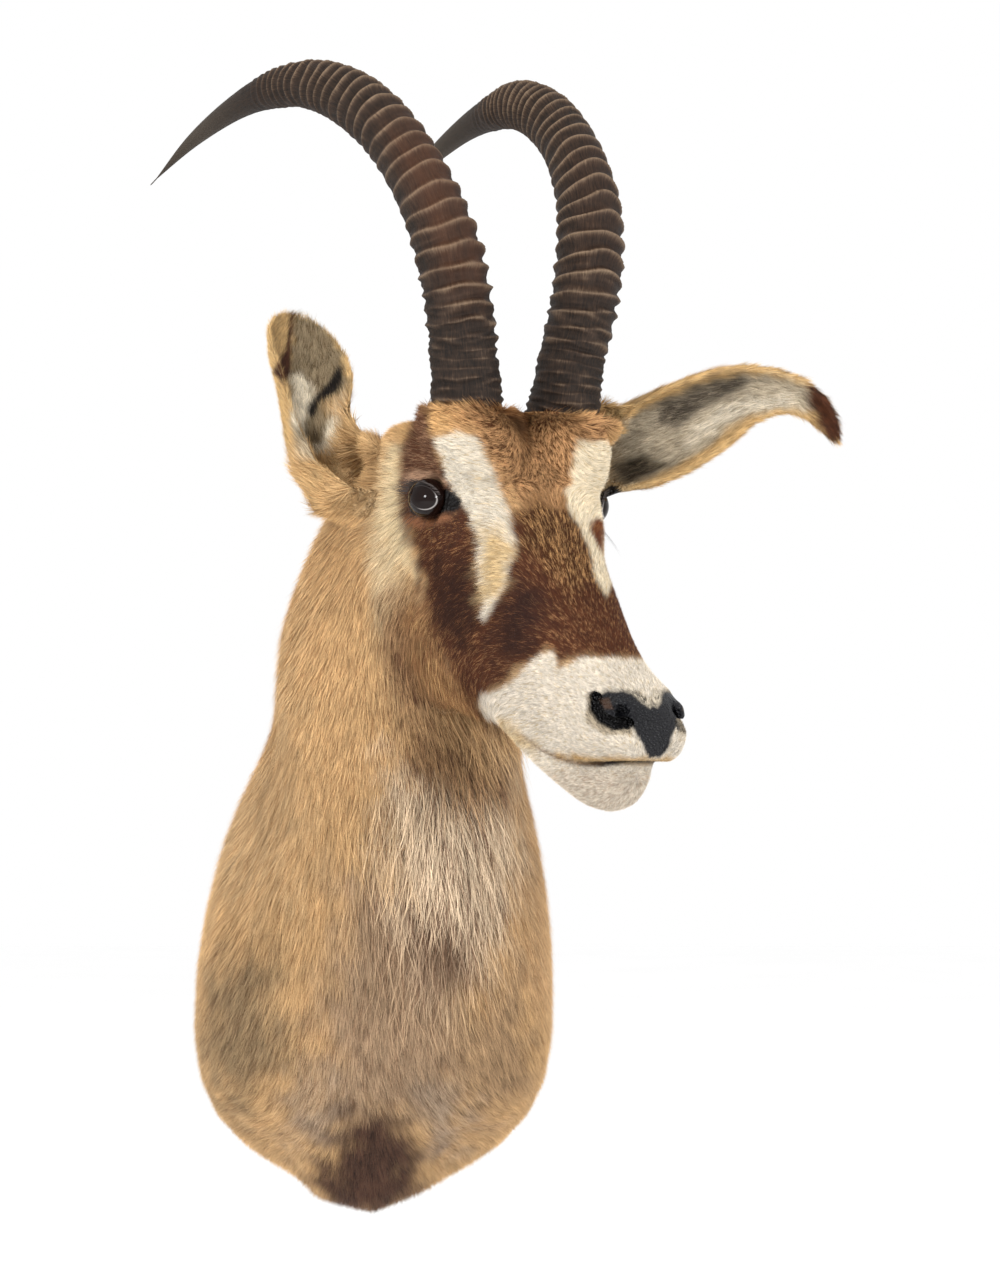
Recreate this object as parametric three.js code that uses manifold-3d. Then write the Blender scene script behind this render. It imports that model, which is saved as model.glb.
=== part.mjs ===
// Shoulder mount of a roan antelope. The hide lies over its form with the head, neck, shoulders and ears
// in one piece. It carries two ringed horns and two glass eyes. A plywood backboard is let into its back,
// with a steel keyhole plate and two screws to hang it by. Millimetres, +Z up. The wall is the plane of
// X and Z, and the origin is the middle of the backboard there. The chest faces -Y, and the head is turned
// towards +X, which is the animal's left.
import * as THREE from "three";
import { mergeVertices } from "three/addons/utils/BufferGeometryUtils.js";
import Module from "manifold-3d";

const wasm = await Module();
wasm.setup();

// Driving dimensions.
const FIT_GAP = 0.4;
const BOARD_THICKNESS = 18;
const BOARD_PROUD = 3; // how far the board stands out of the hide's back edge, to meet the wall first
const BOARD_INSET = 13; // hide and form left round the board
const PLATE = { width: 34, height: 96, thickness: 3, middle: 132, corner: 8 };
const KEYHOLE = { head: 13, neck: 6.4, rise: 19 }; // mm across the hole and the slot, and the slot's height
const PLATE_POCKET = { width: 24, height: 52, corner: 6 }; // room behind the keyhole for a screw's head
const SCREW = { head: 8, rim: 0.4, shank: 4, neck: 2.4, length: 13, spacing: 76 };
const EYE_RADIUS = 20;
const EYE_AT = [-4, 94, -94];
const NOSTRIL = { radius: 9, at: [238, 31, -303] };
const EAR_THICKNESS = 7;
const EAR_TIP_THINNING = 0.6; // the ear is never thicker than this share of its half width
const EAR_CUP_DEPTH = 0.6; // how far a station's middle lies in front of the back of the cup, in radii
const HEAD_TURN = THREE.MathUtils.degToRad(34);
const HEAD_ROLL = THREE.MathUtils.degToRad(1.5);
const HORN_MIDPOINT = new THREE.Vector3(148.5, -490, 563.5);

// How finely the surfaces are cut into faces.
const HIDE_SIDES = 26;
const JAW_SIDES = 12;
const SWELLING_SIDES = 14;
const EYE_SIDES = 12;
const HORN_SIDES = 11;
const EAR_ARC_STEPS = 7;
const CORNER_STEPS = 3;
const SCREW_SIDES = 10;
const STEPS_BETWEEN_ROWS = 2;
const CURVE_STEPS_PER_STATION = 50;

// Hide: neck and shoulders. Each ring is given by its nape and throat points in the side view (y, z), the
// x of its middle, how far it is turned and rolled in degrees, its half width, how high up it is widest
// (0 throat to 1 nape), and how round its upper and lower halves are (1 is an ellipse and less is
// squarer).
const NECK_RINGS = [
  // x, nape y, nape z, throat y, throat z, turn, roll, half, wide, top, low
  [-3, -BOARD_PROUD, 203, -BOARD_PROUD, -252, 0, 0, 181, 0.45, 0.9, 0.79],
  [-3, -16, 206, -40, -256, 0, 0, 188, 0.44, 0.92, 0.79],
  [-3, -30, 207, -130, -254, 0, 0, 191, 0.43, 0.93, 0.8],
  [-1, -48, 213, -215, -240, 0, 0, 191, 0.41, 0.93, 0.85],
  [3, -75, 235, -300, -190, 1, 0, 187, 0.4, 0.97, 0.9],
  [9, -108, 268, -362, -112, 3, 0, 176, 0.42, 1.0, 0.92],
  [21, -145, 312, -402, -25, 6, 0, 151, 0.45, 1.0, 0.95],
  [27, -182, 362, -425, 60, 10, 0, 131, 0.48, 1.0, 1.0],
  [30, -222, 412, -432, 130, 15, 0.4, 130, 0.5, 1.0, 1.0],
  [42, -262, 456, -430, 185, 20, 0.8, 121, 0.52, 0.92, 1.0],
  [54, -305, 495, -422, 225, 25, 1.1, 112, 0.55, 0.87, 1.0],
  [72, -350, 528, -413, 250, 30, 1.4, 105, 0.57, 0.8, 1.0],
];

// Hide: head, from behind the ears to the nose, in the head's own frame: u runs level towards the nose, v
// to the animal's left and w up, from the point midway between the horn bases.
const HEAD_RINGS = [
  // top u, top w, low u, low w, half, wide, top, low
  [-95, -6, -105, -296, 100, 0.57, 0.72, 1.0],
  [-52, 0, -80, -298, 94, 0.62, 0.75, 1.0],
  [-15, -2, -55, -302, 91, 0.67, 0.82, 0.95],
  [12, -14, -28, -308, 91, 0.7, 0.86, 0.92],
  [38, -40, 2, -316, 88, 0.71, 0.86, 0.9],
  [64, -76, 32, -325, 76, 0.69, 0.88, 0.9],
  [90, -117, 62, -331, 64, 0.61, 0.9, 0.9],
  [118, -157, 95, -333, 59, 0.52, 0.86, 0.9],
  [146, -195, 128, -343, 54, 0.47, 0.84, 0.85],
  [174, -229, 160, -351, 52, 0.44, 0.84, 0.82],
  [200, -254, 192, -353, 52, 0.44, 0.84, 0.8],
  [222, -269, 220, -353, 52, 0.47, 0.84, 0.8],
  [238, -283, 240, -353, 46, 0.5, 0.84, 0.8],
  [249, -295, 251, -350, 34, 0.5, 0.85, 0.85],
  [254, -309, 255, -340, 16, 0.5, 0.9, 0.9],
];

// Hide: lower jaw and chin, with the head's columns.
const JAW_RINGS = [
  [36, -276, 42, -330, 46, 0.5, 1.0, 1.0],
  [75, -292, 78, -353, 48, 0.5, 0.9, 1.0],
  [110, -310, 108, -371, 44, 0.5, 0.8, 1.0],
  [143, -326, 138, -387, 39, 0.5, 0.8, 1.0],
  [169, -334, 163, -397, 35, 0.5, 0.8, 0.95],
  [194, -338, 188, -399, 32, 0.55, 0.8, 0.9],
  [214, -341, 209, -390, 27, 0.55, 0.8, 0.9],
  [229, -348, 225, -376, 17, 0.5, 0.9, 1.0],
];

// Hide: the swelling that carries each horn, as rounds of radius r at (u, v, w).
const HORN_SWELLING = [
  [16, 40, -112, 28],
  [18, 46, -72, 46],
  [11, 51, -38, 52],
  [4, 55, -13, 49],
  [1, 58, 2, 43],
];

// Swellings and hollows of bone and muscle under the hide, in the head's frame: centre, reach along u, v
// and w, and how far the surface moves outwards. Each is on both sides unless its v is 0.
const HEAD_MIDDLE_W = -175;
const HEAD_FORMS = [
  { at: [6, 92, -66], reach: [34, 26, 20], out: 11 }, // brow over the eye
  { at: [2, 92, -124], reach: [30, 26, 16], out: 7 }, // lower lid and cheekbone
  { at: [56, 72, -160], reach: [30, 24, 26], out: -6 }, // hollow in front of the eye
  { at: [-38, 88, -190], reach: [48, 34, 62], out: 7 }, // jaw muscle
  { at: [88, 58, -225], reach: [40, 28, 20], out: 4 }, // cheek ridge
  { at: [-78, 98, -70], reach: [34, 26, 40], out: 12 }, // root of the ear
  { at: [222, 42, -302], reach: [22, 18, 20], out: 5 }, // flare of the nostril
  { at: [196, 46, -332], reach: [36, 18, 18], out: 3 }, // upper lip
  { at: [66, 0, -70], reach: [34, 50, 34], out: 5 }, // forehead
];

// Forms of the chest: centre, reach along x, y and z, and the push along each. They fade in away from the
// wall.
const CHEST_FADE = 40;
const CHEST_FORM_EDGE = 1.7; // how firmly each form ends: 1 is a soft bell, and more is a rounder block
const CHEST_FORMS = [
  { at: [-10, -185, -256], reach: [70, 95, 60], push: [0, -2, -31] }, // breastbone
  { at: [106, -235, -225], reach: [44, 80, 42], push: [-20, 10, 16] }, // hollows beside it
  { at: [-122, -235, -228], reach: [40, 80, 44], push: [14, 10, 14] },
  { at: [150, -190, -130], reach: [60, 110, 70], push: [4, -8, 0] }, // points of the shoulders
  { at: [-156, -190, -130], reach: [60, 110, 70], push: [-4, -8, 0] },
];

// Ears: a leaf bent round its length into a cup. Each station has its middle (x, y, z), its half width,
// the angle in degrees from the back of the cup to each edge, and the way that the cup opens (x, y, z).
const LEFT_EAR = [
  [170, -366, 524, 32, 160, 0.35, -0.85, -0.1],
  [212, -376, 526, 41, 142, 0.3, -0.9, -0.2],
  [249, -382, 533, 45, 118, 0.25, -0.92, -0.25],
  [278, -385, 541, 47, 100, 0.2, -0.93, -0.3],
  [308, -385, 552, 48, 88, 0.1, -0.93, -0.3],
  [339, -383, 565, 45, 78, 0.05, -0.94, -0.3],
  [364, -380, 576, 40, 70, 0.0, -0.94, -0.3],
  [386, -377, 584, 33, 66, 0.0, -0.94, -0.3],
  [412, -373, 587, 27, 64, -0.05, -0.94, -0.3],
  [438, -369, 583, 21, 62, -0.1, -0.94, -0.3],
  [459, -366, 570, 17, 60, -0.1, -0.95, -0.2],
  [472, -364, 552, 12, 58, -0.1, -0.95, -0.2],
  [479, -363, 536, 5, 55, -0.1, -0.95, -0.1],
];
const RIGHT_EAR = [
  [46, -396, 488, 22, 165, 0.5, -0.8, 0.3],
  [-1, -419, 476, 41, 160, 0.5, -0.8, 0.3],
  [-39, -432, 487, 50, 146, 0.5, -0.8, 0.3],
  [-49, -438, 509, 46, 126, 0.5, -0.8, 0.3],
  [-57, -432, 532, 41, 108, 0.5, -0.76, 0.35],
  [-62, -416, 556, 40, 98, 0.46, -0.72, 0.4],
  [-64, -394, 580, 44, 88, 0.42, -0.7, 0.45],
  [-67, -366, 604, 49, 80, 0.4, -0.68, 0.5],
  [-70, -334, 627, 48, 72, 0.4, -0.66, 0.55],
  [-72, -304, 647, 40, 66, 0.4, -0.66, 0.55],
  [-72, -282, 661, 27, 60, 0.4, -0.66, 0.55],
  [-73, -271, 668, 12, 55, 0.4, -0.66, 0.55],
];

// Horns: each is a ringed sheath along a curve through stations behind, beside and above the horn
// midpoint, with its radius there. The right horn mirrors the left one in the head's frame.
const HORN_STATIONS = [
  // back, side, up, radius
  [4, 52, -24, 39],
  [-1, 58, 1, 39],
  [-4, 66, 54, 36.5],
  [-7, 76, 104, 36],
  [-1, 86, 154, 35],
  [19, 98, 208, 33],
  [60, 109, 262, 31],
  [95, 116, 291, 29.5],
  [139, 123, 315, 27.5],
  [197, 131, 331, 24.5],
  [256, 138, 330, 20.5],
  [314, 142, 319, 15.5],
  [396, 147, 290, 9.5],
  [476, 151, 249, 1.6],
];
const HORN_FLATTENING = 0.94; // side to side over front to back
const FIRST_RING = 46; // mm along the horn from its hidden root
const FIRST_STRONG_RING = 105;
const NARROWING_START = 250;
const LAST_RING = 560;
const LAST_RINGS_FADE = 60;
const FAINT_PITCH = 12;
const STRONG_PITCH = 19.5;
const LAST_PITCH = 9.5;
const RING_HEIGHT = 4;
const FIRST_RING_SHARE = 0.3; // height of the faint rings and of the last ones, as a share of the bold rings'
const BACK_RING_SHARE = 0.3; // height of a ring at the back of the horn, as a share of its front
const CREST_AT = 0.55; // share of the pitch from the groove to the crest
const SMOOTH_TIP_STOPS = [0.82, 0.88, 0.93, 0.97, 1];

// The head's directions, and the place of a point given in its frame.
const UP = new THREE.Vector3(0, 0, 1);
const forwardAt = (turn) => new THREE.Vector3(Math.sin(turn), -Math.cos(turn), 0);
const leftAt = (turn, roll) =>
  new THREE.Vector3(Math.cos(turn), Math.sin(turn), 0)
    .multiplyScalar(Math.cos(roll))
    .addScaledVector(UP, -Math.sin(roll));
const HEAD_FORWARD = forwardAt(HEAD_TURN);
const HEAD_LEFT = leftAt(HEAD_TURN, HEAD_ROLL);
const HEAD_UP = new THREE.Vector3().crossVectors(HEAD_FORWARD, HEAD_LEFT);

const headPoint = (u, v, w) =>
  HORN_MIDPOINT.clone()
    .addScaledVector(HEAD_FORWARD, u)
    .addScaledVector(HEAD_LEFT, v)
    .addScaledVector(HEAD_UP, w);

const inHead = (p) => {
  const d = p.clone().sub(HORN_MIDPOINT);
  return [d.dot(HEAD_FORWARD), d.dot(HEAD_LEFT), d.dot(HEAD_UP)];
};

// One number carried smoothly from b to c, with a and d as the neighbours outside them.
function smoothBetween(a, b, c, d, t) {
  const t2 = t * t;
  const t3 = t2 * t;
  const ends = (2 * t3 - 3 * t2 + 1) * b + (3 * t2 - 2 * t3) * c;
  return ends + ((t3 - 2 * t2 + t) * (c - a)) / 2 + ((t3 - t2) * (d - b)) / 2;
}

// Rows of numbers with further rows laid smoothly between each two given ones.
function fillRows(rows) {
  const row = (i) => rows[Math.min(Math.max(i, 0), rows.length - 1)];
  const filled = [];
  for (let i = 0; i < rows.length - 1; i++) {
    const [before, from, to, after] = [row(i - 1), row(i), row(i + 1), row(i + 2)];
    for (let k = 0; k < STEPS_BETWEEN_ROWS; k++) {
      const t = k / STEPS_BETWEEN_ROWS;
      filled.push(from.map((_, n) => smoothBetween(before[n], from[n], to[n], after[n], t)));
    }
  }
  filled.push(rows[rows.length - 1]);
  return filled;
}

// One closed surface through rings that all have the same number of points. The ends of a crescent are
// closed by a strip between its outer and inner edge, and the ends of any other ring by a fan.
function loft(rings, crescent = false) {
  const count = rings[0].length;
  const positions = rings.flat().flatMap((p) => [p.x, p.y, p.z]);
  const faces = [];
  const quad = (a, b, c, d) => faces.push(a, b, c, a, c, d);
  for (let r = 0; r + 1 < rings.length; r++) {
    for (let i = 0; i < count; i++) {
      const j = (i + 1) % count;
      quad(r * count + i, r * count + j, (r + 1) * count + j, (r + 1) * count + i);
    }
  }
  for (const r of [0, rings.length - 1]) {
    const start = r * count;
    const turned = (corners) => (r === 0 ? corners : corners.reverse());
    if (crescent) {
      for (let i = 0; i + 1 < count / 2; i++) {
        quad(...turned([start + i, start + count - 1 - i, start + count - 2 - i, start + i + 1]));
      }
      continue;
    }
    const middle = new THREE.Vector3();
    rings[r].forEach((p) => middle.addScaledVector(p, 1 / count));
    const hub = positions.length / 3;
    positions.push(middle.x, middle.y, middle.z);
    for (let i = 0; i < count; i++) faces.push(...turned([hub, start + ((i + 1) % count), start + i]));
  }
  return new THREE.BufferGeometry()
    .setAttribute("position", new THREE.Float32BufferAttribute(positions, 3))
    .setIndex(faces);
}

// A closed geometry as a solid for joining and cutting, turned right side out.
function solid(geometry) {
  const plain = geometry.clone();
  for (const name of ["normal", "uv"]) plain.deleteAttribute(name);
  const merged = mergeVertices(plain, 1e-4);
  const vertProperties = new Float32Array(merged.attributes.position.array);
  const triVerts = new Uint32Array(merged.index.array);
  const made = new wasm.Manifold(new wasm.Mesh({ numProp: 3, vertProperties, triVerts }));
  if (made.volume() > 0) return made;
  for (let i = 0; i < triVerts.length; i += 3) {
    const first = triVerts[i];
    triVerts[i] = triVerts[i + 1];
    triVerts[i + 1] = first;
  }
  return new wasm.Manifold(new wasm.Mesh({ numProp: 3, vertProperties, triVerts }));
}

function geometryOf(made) {
  const mesh = made.getMesh();
  return new THREE.BufferGeometry()
    .setAttribute("position", new THREE.Float32BufferAttribute(mesh.vertProperties, 3))
    .setIndex(new THREE.BufferAttribute(mesh.triVerts, 1));
}

// Hide: a ring from its top and low points, its sideways direction and its four shape numbers.
function hideRing([tx, ty, tz, lx, ly, lz, sx, sy, sz, half, wide, topPower, lowPower], sides) {
  const top = new THREE.Vector3(tx, ty, tz);
  const low = new THREE.Vector3(lx, ly, lz);
  const left = new THREE.Vector3(sx, sy, sz).normalize();
  return Array.from({ length: sides }, (_, i) => {
    const angle = (2 * Math.PI * i) / sides;
    const rise = Math.cos(angle);
    const side = Math.sin(angle);
    const [power, reach] = rise > 0 ? [topPower, 1 - wide] : [lowPower, -wide];
    return new THREE.Vector3()
      .lerpVectors(low, top, wide + reach * Math.abs(rise) ** power)
      .addScaledVector(left, half * Math.sign(side) * Math.abs(side) ** power);
  });
}

function neckRow([x, napeY, napeZ, throatY, throatZ, turn, roll, ...shape]) {
  const turned = THREE.MathUtils.degToRad(turn);
  const back = forwardAt(turned).negate();
  const middle = new THREE.Vector3(x, (napeY + throatY) / 2, (napeZ + throatZ) / 2);
  const reach = (napeY - throatY) / 2;
  const rise = (napeZ - throatZ) / 2;
  const nape = middle.clone().addScaledVector(back, reach).addScaledVector(UP, rise);
  const throat = middle.clone().addScaledVector(back, -reach).addScaledVector(UP, -rise);
  return [...nape, ...throat, ...leftAt(turned, THREE.MathUtils.degToRad(roll)), ...shape];
}

function headRow([topU, topW, lowU, lowW, ...shape]) {
  return [...headPoint(topU, 0, topW), ...headPoint(lowU, 0, lowW), ...HEAD_LEFT, ...shape];
}

// Moves a point of the head by the swellings and hollows that it lies in.
function shapeHead(point) {
  const [u, v, w] = inHead(point);
  const outward = new THREE.Vector3()
    .addScaledVector(HEAD_LEFT, v)
    .addScaledVector(HEAD_UP, w - HEAD_MIDDLE_W)
    .normalize();
  const sideways = outward.clone().addScaledVector(HEAD_LEFT, Math.sign(v)).normalize();
  for (const { at, reach, out } of HEAD_FORMS) {
    const away = [(u - at[0]) / reach[0], (Math.abs(v) - at[1]) / reach[1], (w - at[2]) / reach[2]];
    const share = Math.exp(-(away[0] ** 2 + away[1] ** 2 + away[2] ** 2));
    point.addScaledVector(at[1] === 0 ? outward : sideways, out * share);
  }
  return point;
}

// Moves a point of the chest by its forms, and leaves the back edge flat.
function shapeChest(point) {
  const start = point.clone();
  const freeOfEdge = THREE.MathUtils.smoothstep(-start.y, BOARD_PROUD, BOARD_PROUD + CHEST_FADE);
  for (const { at, reach, push } of CHEST_FORMS) {
    const away = start.clone().sub(new THREE.Vector3(...at)).divide(new THREE.Vector3(...reach));
    const share = Math.exp(-(away.lengthSq() ** CHEST_FORM_EDGE));
    point.addScaledVector(new THREE.Vector3(...push), freeOfEdge * share);
  }
  return point;
}

// Ears: rings of the cup, each an outer arc and an inner arc.
function earRings(stations) {
  const middles = stations.map(([x, y, z]) => new THREE.Vector3(x, y, z));
  return stations.map(([, , , half, cup, openX, openY, openZ], i) => {
    const next = middles[Math.min(i + 1, stations.length - 1)];
    const along = next.clone().sub(middles[Math.max(i - 1, 0)]).normalize();
    const open = new THREE.Vector3(openX, openY, openZ);
    open.addScaledVector(along, -open.dot(along)).normalize();
    const across = new THREE.Vector3().crossVectors(along, open);
    const spread = THREE.MathUtils.degToRad(cup);
    const radius = half / Math.sin(Math.min(spread, Math.PI / 2));
    const arc = (r) =>
      Array.from({ length: EAR_ARC_STEPS }, (_, n) => {
        const angle = spread * ((2 * n) / (EAR_ARC_STEPS - 1) - 1);
        return middles[i]
          .clone()
          .addScaledVector(across, r * Math.sin(angle))
          .addScaledVector(open, EAR_CUP_DEPTH * radius - r * Math.cos(angle));
      });
    const thickness = Math.min(EAR_THICKNESS, half * EAR_TIP_THINNING);
    return [...arc(radius), ...arc(radius - thickness).reverse()];
  });
}

// Horns: the curve, and the plain radius at a distance along it.
const hornCurve = new THREE.CatmullRomCurve3(
  HORN_STATIONS.map(([back, side, up]) => new THREE.Vector3(-back, side, up)),
  false,
  "centripetal",
);
hornCurve.arcLengthDivisions = CURVE_STEPS_PER_STATION * (HORN_STATIONS.length - 1);
const hornLength = hornCurve.getLength();
const stationPlaces = HORN_STATIONS.map((_, i) => hornCurve.getLengths()[CURVE_STEPS_PER_STATION * i]);

function hornRadius(place) {
  const last = HORN_STATIONS.length - 2;
  const i = Math.min(stationPlaces.findLastIndex((start) => start <= place), last);
  const t = (place - stationPlaces[i]) / (stationPlaces[i + 1] - stationPlaces[i]);
  return THREE.MathUtils.lerp(HORN_STATIONS[i][3], HORN_STATIONS[i + 1][3], Math.min(t, 1));
}

// Stops along the horn with the height of the ridge there: a groove and a crest for each ring. The rings
// are faint and close at the base, then bold and wide, and close again where the smooth tip starts.
function hornStops() {
  const stops = [[0, 0]];
  let place = FIRST_RING;
  while (place < LAST_RING) {
    const strength = THREE.MathUtils.smoothstep(place, FIRST_RING, FIRST_STRONG_RING);
    const narrowing = THREE.MathUtils.smoothstep(place, NARROWING_START, LAST_RING);
    const ending = THREE.MathUtils.smoothstep(place, LAST_RING - LAST_RINGS_FADE, LAST_RING);
    const lower = THREE.MathUtils.lerp(FAINT_PITCH, STRONG_PITCH, strength);
    const pitch = THREE.MathUtils.lerp(lower, LAST_PITCH, narrowing);
    const height = THREE.MathUtils.lerp(FIRST_RING_SHARE, 1, strength * (1 - ending));
    stops.push([place, 0], [place + CREST_AT * pitch, height]);
    place += pitch;
  }
  stops.push([place, 0]);
  for (const share of SMOOTH_TIP_STOPS) stops.push([share * hornLength, 0]);
  return stops;
}

function hornRings(side, stops, grow) {
  return stops.map(([place, ridge]) => {
    const share = place / hornLength;
    const along = hornCurve.getTangentAt(share);
    const middle = hornCurve.getPointAt(share).addScaledVector(along, place === 0 ? -grow : 0);
    const across = new THREE.Vector3(0, 1, 0);
    across.addScaledVector(along, -across.dot(along)).normalize();
    const front = new THREE.Vector3().crossVectors(across, along);
    const plain = hornRadius(place) + grow;
    return Array.from({ length: HORN_SIDES }, (_, i) => {
      const angle = (2 * Math.PI * i) / HORN_SIDES;
      const height = RING_HEIGHT * THREE.MathUtils.lerp(BACK_RING_SHARE, 1, (1 + Math.cos(angle)) / 2);
      const radius = plain + ridge * height;
      const p = middle
        .clone()
        .addScaledVector(front, radius * Math.cos(angle))
        .addScaledVector(across, radius * Math.sin(angle) * HORN_FLATTENING);
      return headPoint(p.x, side * p.y, p.z);
    });
  });
}

// The room that a horn takes in the hide: its smooth root, larger all round by the gap.
function hornSocket(side) {
  const root = [
    [0, 0],
    [FIRST_RING, 0],
  ];
  return loft(hornRings(side, root, FIT_GAP));
}

function hornSwelling(side) {
  const round = ([u, v, w, r]) =>
    Array.from({ length: SWELLING_SIDES }, (_, i) => {
      const angle = (2 * Math.PI * i) / SWELLING_SIDES;
      return headPoint(u + r * Math.cos(angle), side * (v + r * Math.sin(angle)), w);
    });
  return loft(HORN_SWELLING.map(round));
}

// Eyes and nostrils.
const onSide = ([u, v, w], side) => headPoint(u, side * v, w);

function ball(radius, at) {
  return new THREE.SphereGeometry(radius, EYE_SIDES, EYE_SIDES / 2 + 2).translate(at.x, at.y, at.z);
}

// Backboard: its outline is the hide's back edge, moved inwards.
function boardOutline(inset) {
  const [x, , napeZ, , throatZ, , , half, wide, topPower, lowPower] = NECK_RINGS[0];
  const waist = throatZ + wide * (napeZ - throatZ);
  const points = Array.from({ length: HIDE_SIDES }, (_, i) => {
    const angle = (2 * Math.PI * i) / HIDE_SIDES;
    const [cos, sin] = [Math.cos(angle), Math.sin(angle)];
    const [power, reach] = cos > 0 ? [topPower, napeZ - waist - inset] : [lowPower, waist - throatZ - inset];
    const across = (half - inset) * Math.sign(sin) * Math.abs(sin) ** power;
    return new THREE.Vector2(x + across, waist + reach * Math.sign(cos) * Math.abs(cos) ** power);
  });
  return new THREE.Shape(points);
}

// A shape drawn in x and z as a slab from one y to another.
function slab(shape, front, back) {
  const options = { depth: back - front, bevelEnabled: false, curveSegments: CORNER_STEPS };
  return new THREE.ExtrudeGeometry(shape, options).rotateX(Math.PI / 2).translate(0, back, 0);
}

function roundedShape(width, height, corner, middle) {
  const [x, z] = [width / 2 - corner, height / 2 - corner];
  const shape = new THREE.Shape();
  shape.absarc(x, middle + z, corner, 0, Math.PI / 2);
  shape.absarc(-x, middle + z, corner, Math.PI / 2, Math.PI);
  shape.absarc(-x, middle - z, corner, Math.PI, 1.5 * Math.PI);
  shape.absarc(x, middle - z, corner, 1.5 * Math.PI, 2 * Math.PI);
  return shape;
}

function keyholePath() {
  const [big, small] = [KEYHOLE.head / 2, KEYHOLE.neck / 2];
  const low = PLATE.middle - KEYHOLE.rise / 2;
  const meet = Math.asin(small / big);
  const path = new THREE.Path();
  path.absarc(0, low, big, Math.PI / 2 + meet, 2.5 * Math.PI - meet);
  path.absarc(0, low + KEYHOLE.rise, small, 0, Math.PI);
  return path;
}

// Screws: a countersunk head level with the plate, and a shank into the board.
const screwHeights = [-1, 1].map((end) => PLATE.middle + (end * SCREW.spacing) / 2);

function screw(height, grow = 0) {
  const outline = [
    [0, 0],
    [SCREW.head / 2 + grow, 0],
    [SCREW.head / 2 + grow, SCREW.rim],
    [SCREW.shank / 2 + grow, SCREW.neck],
    [SCREW.shank / 2 + grow, SCREW.length + grow],
    [0, SCREW.length + grow],
  ];
  const points = outline.map(([radius, depth]) => new THREE.Vector2(radius, -depth));
  return new THREE.LatheGeometry(points, SCREW_SIDES).translate(0, 0, height);
}

const cutScrews = (made) => screwHeights.reduce((left, at) => left.subtract(solid(screw(at, FIT_GAP))), made);

function backboard() {
  const [roomWidth, roomHeight] = [PLATE.width + 2 * FIT_GAP, PLATE.height + 2 * FIT_GAP];
  const plateRoom = roundedShape(roomWidth, roomHeight, PLATE.corner, PLATE.middle);
  const pocket = roundedShape(PLATE_POCKET.width, PLATE_POCKET.height, PLATE_POCKET.corner, PLATE.middle);
  const board = solid(slab(boardOutline(BOARD_INSET), -BOARD_THICKNESS, 0))
    .subtract(solid(slab(plateRoom, -PLATE.thickness - FIT_GAP, 1)))
    .subtract(solid(slab(pocket, -BOARD_THICKNESS - 1, 1)));
  return geometryOf(cutScrews(board));
}

function hangerPlate() {
  const shape = roundedShape(PLATE.width, PLATE.height, PLATE.corner, PLATE.middle);
  shape.holes.push(keyholePath());
  return geometryOf(cutScrews(solid(slab(shape, -PLATE.thickness, 0))));
}

// The hide as one solid: neck and head in one loft, joined by the jaw, the horn swellings and the ears,
// with room cut for the board, the horns, the eyes and the nostrils.
function hide() {
  const rows = fillRows([...NECK_RINGS.map(neckRow), ...HEAD_RINGS.map(headRow)]);
  const body = rows.map((row) => hideRing(row, HIDE_SIDES).map(shapeHead).map(shapeChest));
  const jaw = fillRows(JAW_RINGS.map(headRow)).map((row) => hideRing(row, JAW_SIDES));
  let made = solid(loft(body))
    .add(solid(loft(jaw)))
    .add(solid(loft(earRings(LEFT_EAR), true)))
    .add(solid(loft(earRings(RIGHT_EAR), true)))
    .subtract(solid(slab(boardOutline(BOARD_INSET - FIT_GAP), -BOARD_THICKNESS - FIT_GAP, 1)));
  for (const side of [-1, 1]) {
    made = made
      .add(solid(hornSwelling(side)))
      .subtract(solid(hornSocket(side)))
      .subtract(solid(ball(EYE_RADIUS + FIT_GAP, onSide(EYE_AT, side))))
      .subtract(solid(ball(NOSTRIL.radius, onSide(NOSTRIL.at, side))));
  }
  return geometryOf(made);
}

const MATERIALS = {
  hide: new THREE.MeshStandardMaterial({ color: 0xc09a6b, roughness: 0.9, metalness: 0 }),
  horn: new THREE.MeshStandardMaterial({ color: 0x463328, roughness: 0.55, metalness: 0 }),
  eye: new THREE.MeshStandardMaterial({ color: 0x160c08, roughness: 0.05, metalness: 0 }),
  board: new THREE.MeshStandardMaterial({ color: 0xb8905c, roughness: 0.7, metalness: 0 }),
  steel: new THREE.MeshStandardMaterial({ color: 0xa8a8a4, roughness: 0.4, metalness: 1 }),
};

const mount = new THREE.Group();

function addPiece(name, geometry, material) {
  const mesh = new THREE.Mesh(geometry, material);
  mesh.name = name;
  mount.add(mesh);
  return mesh;
}

addPiece("hide", hide(), MATERIALS.hide);
for (const [name, side] of [
  ["right", -1],
  ["left", 1],
]) {
  addPiece("horn_" + name, geometryOf(solid(loft(hornRings(side, hornStops(), 0)))), MATERIALS.horn);
  const eye = addPiece("eye_" + name, ball(EYE_RADIUS, new THREE.Vector3()), MATERIALS.eye);
  eye.position.copy(onSide(EYE_AT, side));
}
addPiece("backboard", backboard(), MATERIALS.board);
addPiece("hanger_plate", hangerPlate(), MATERIALS.steel);
["lower", "upper"].forEach((name, i) => {
  addPiece("hanger_screw_" + name, geometryOf(solid(screw(screwHeights[i]))), MATERIALS.steel);
});

export default mount;
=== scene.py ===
# Shoulder mount of a roan antelope: the hide with its hair, two ringed horns, two glass eyes, and the board
# with the steel plate that it hangs by. The frame's parts give every place. All lengths here are in metres
# unless a name or comment says otherwise.
import math

import bmesh
import bpy
import numpy as np
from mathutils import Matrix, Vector, noise


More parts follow.
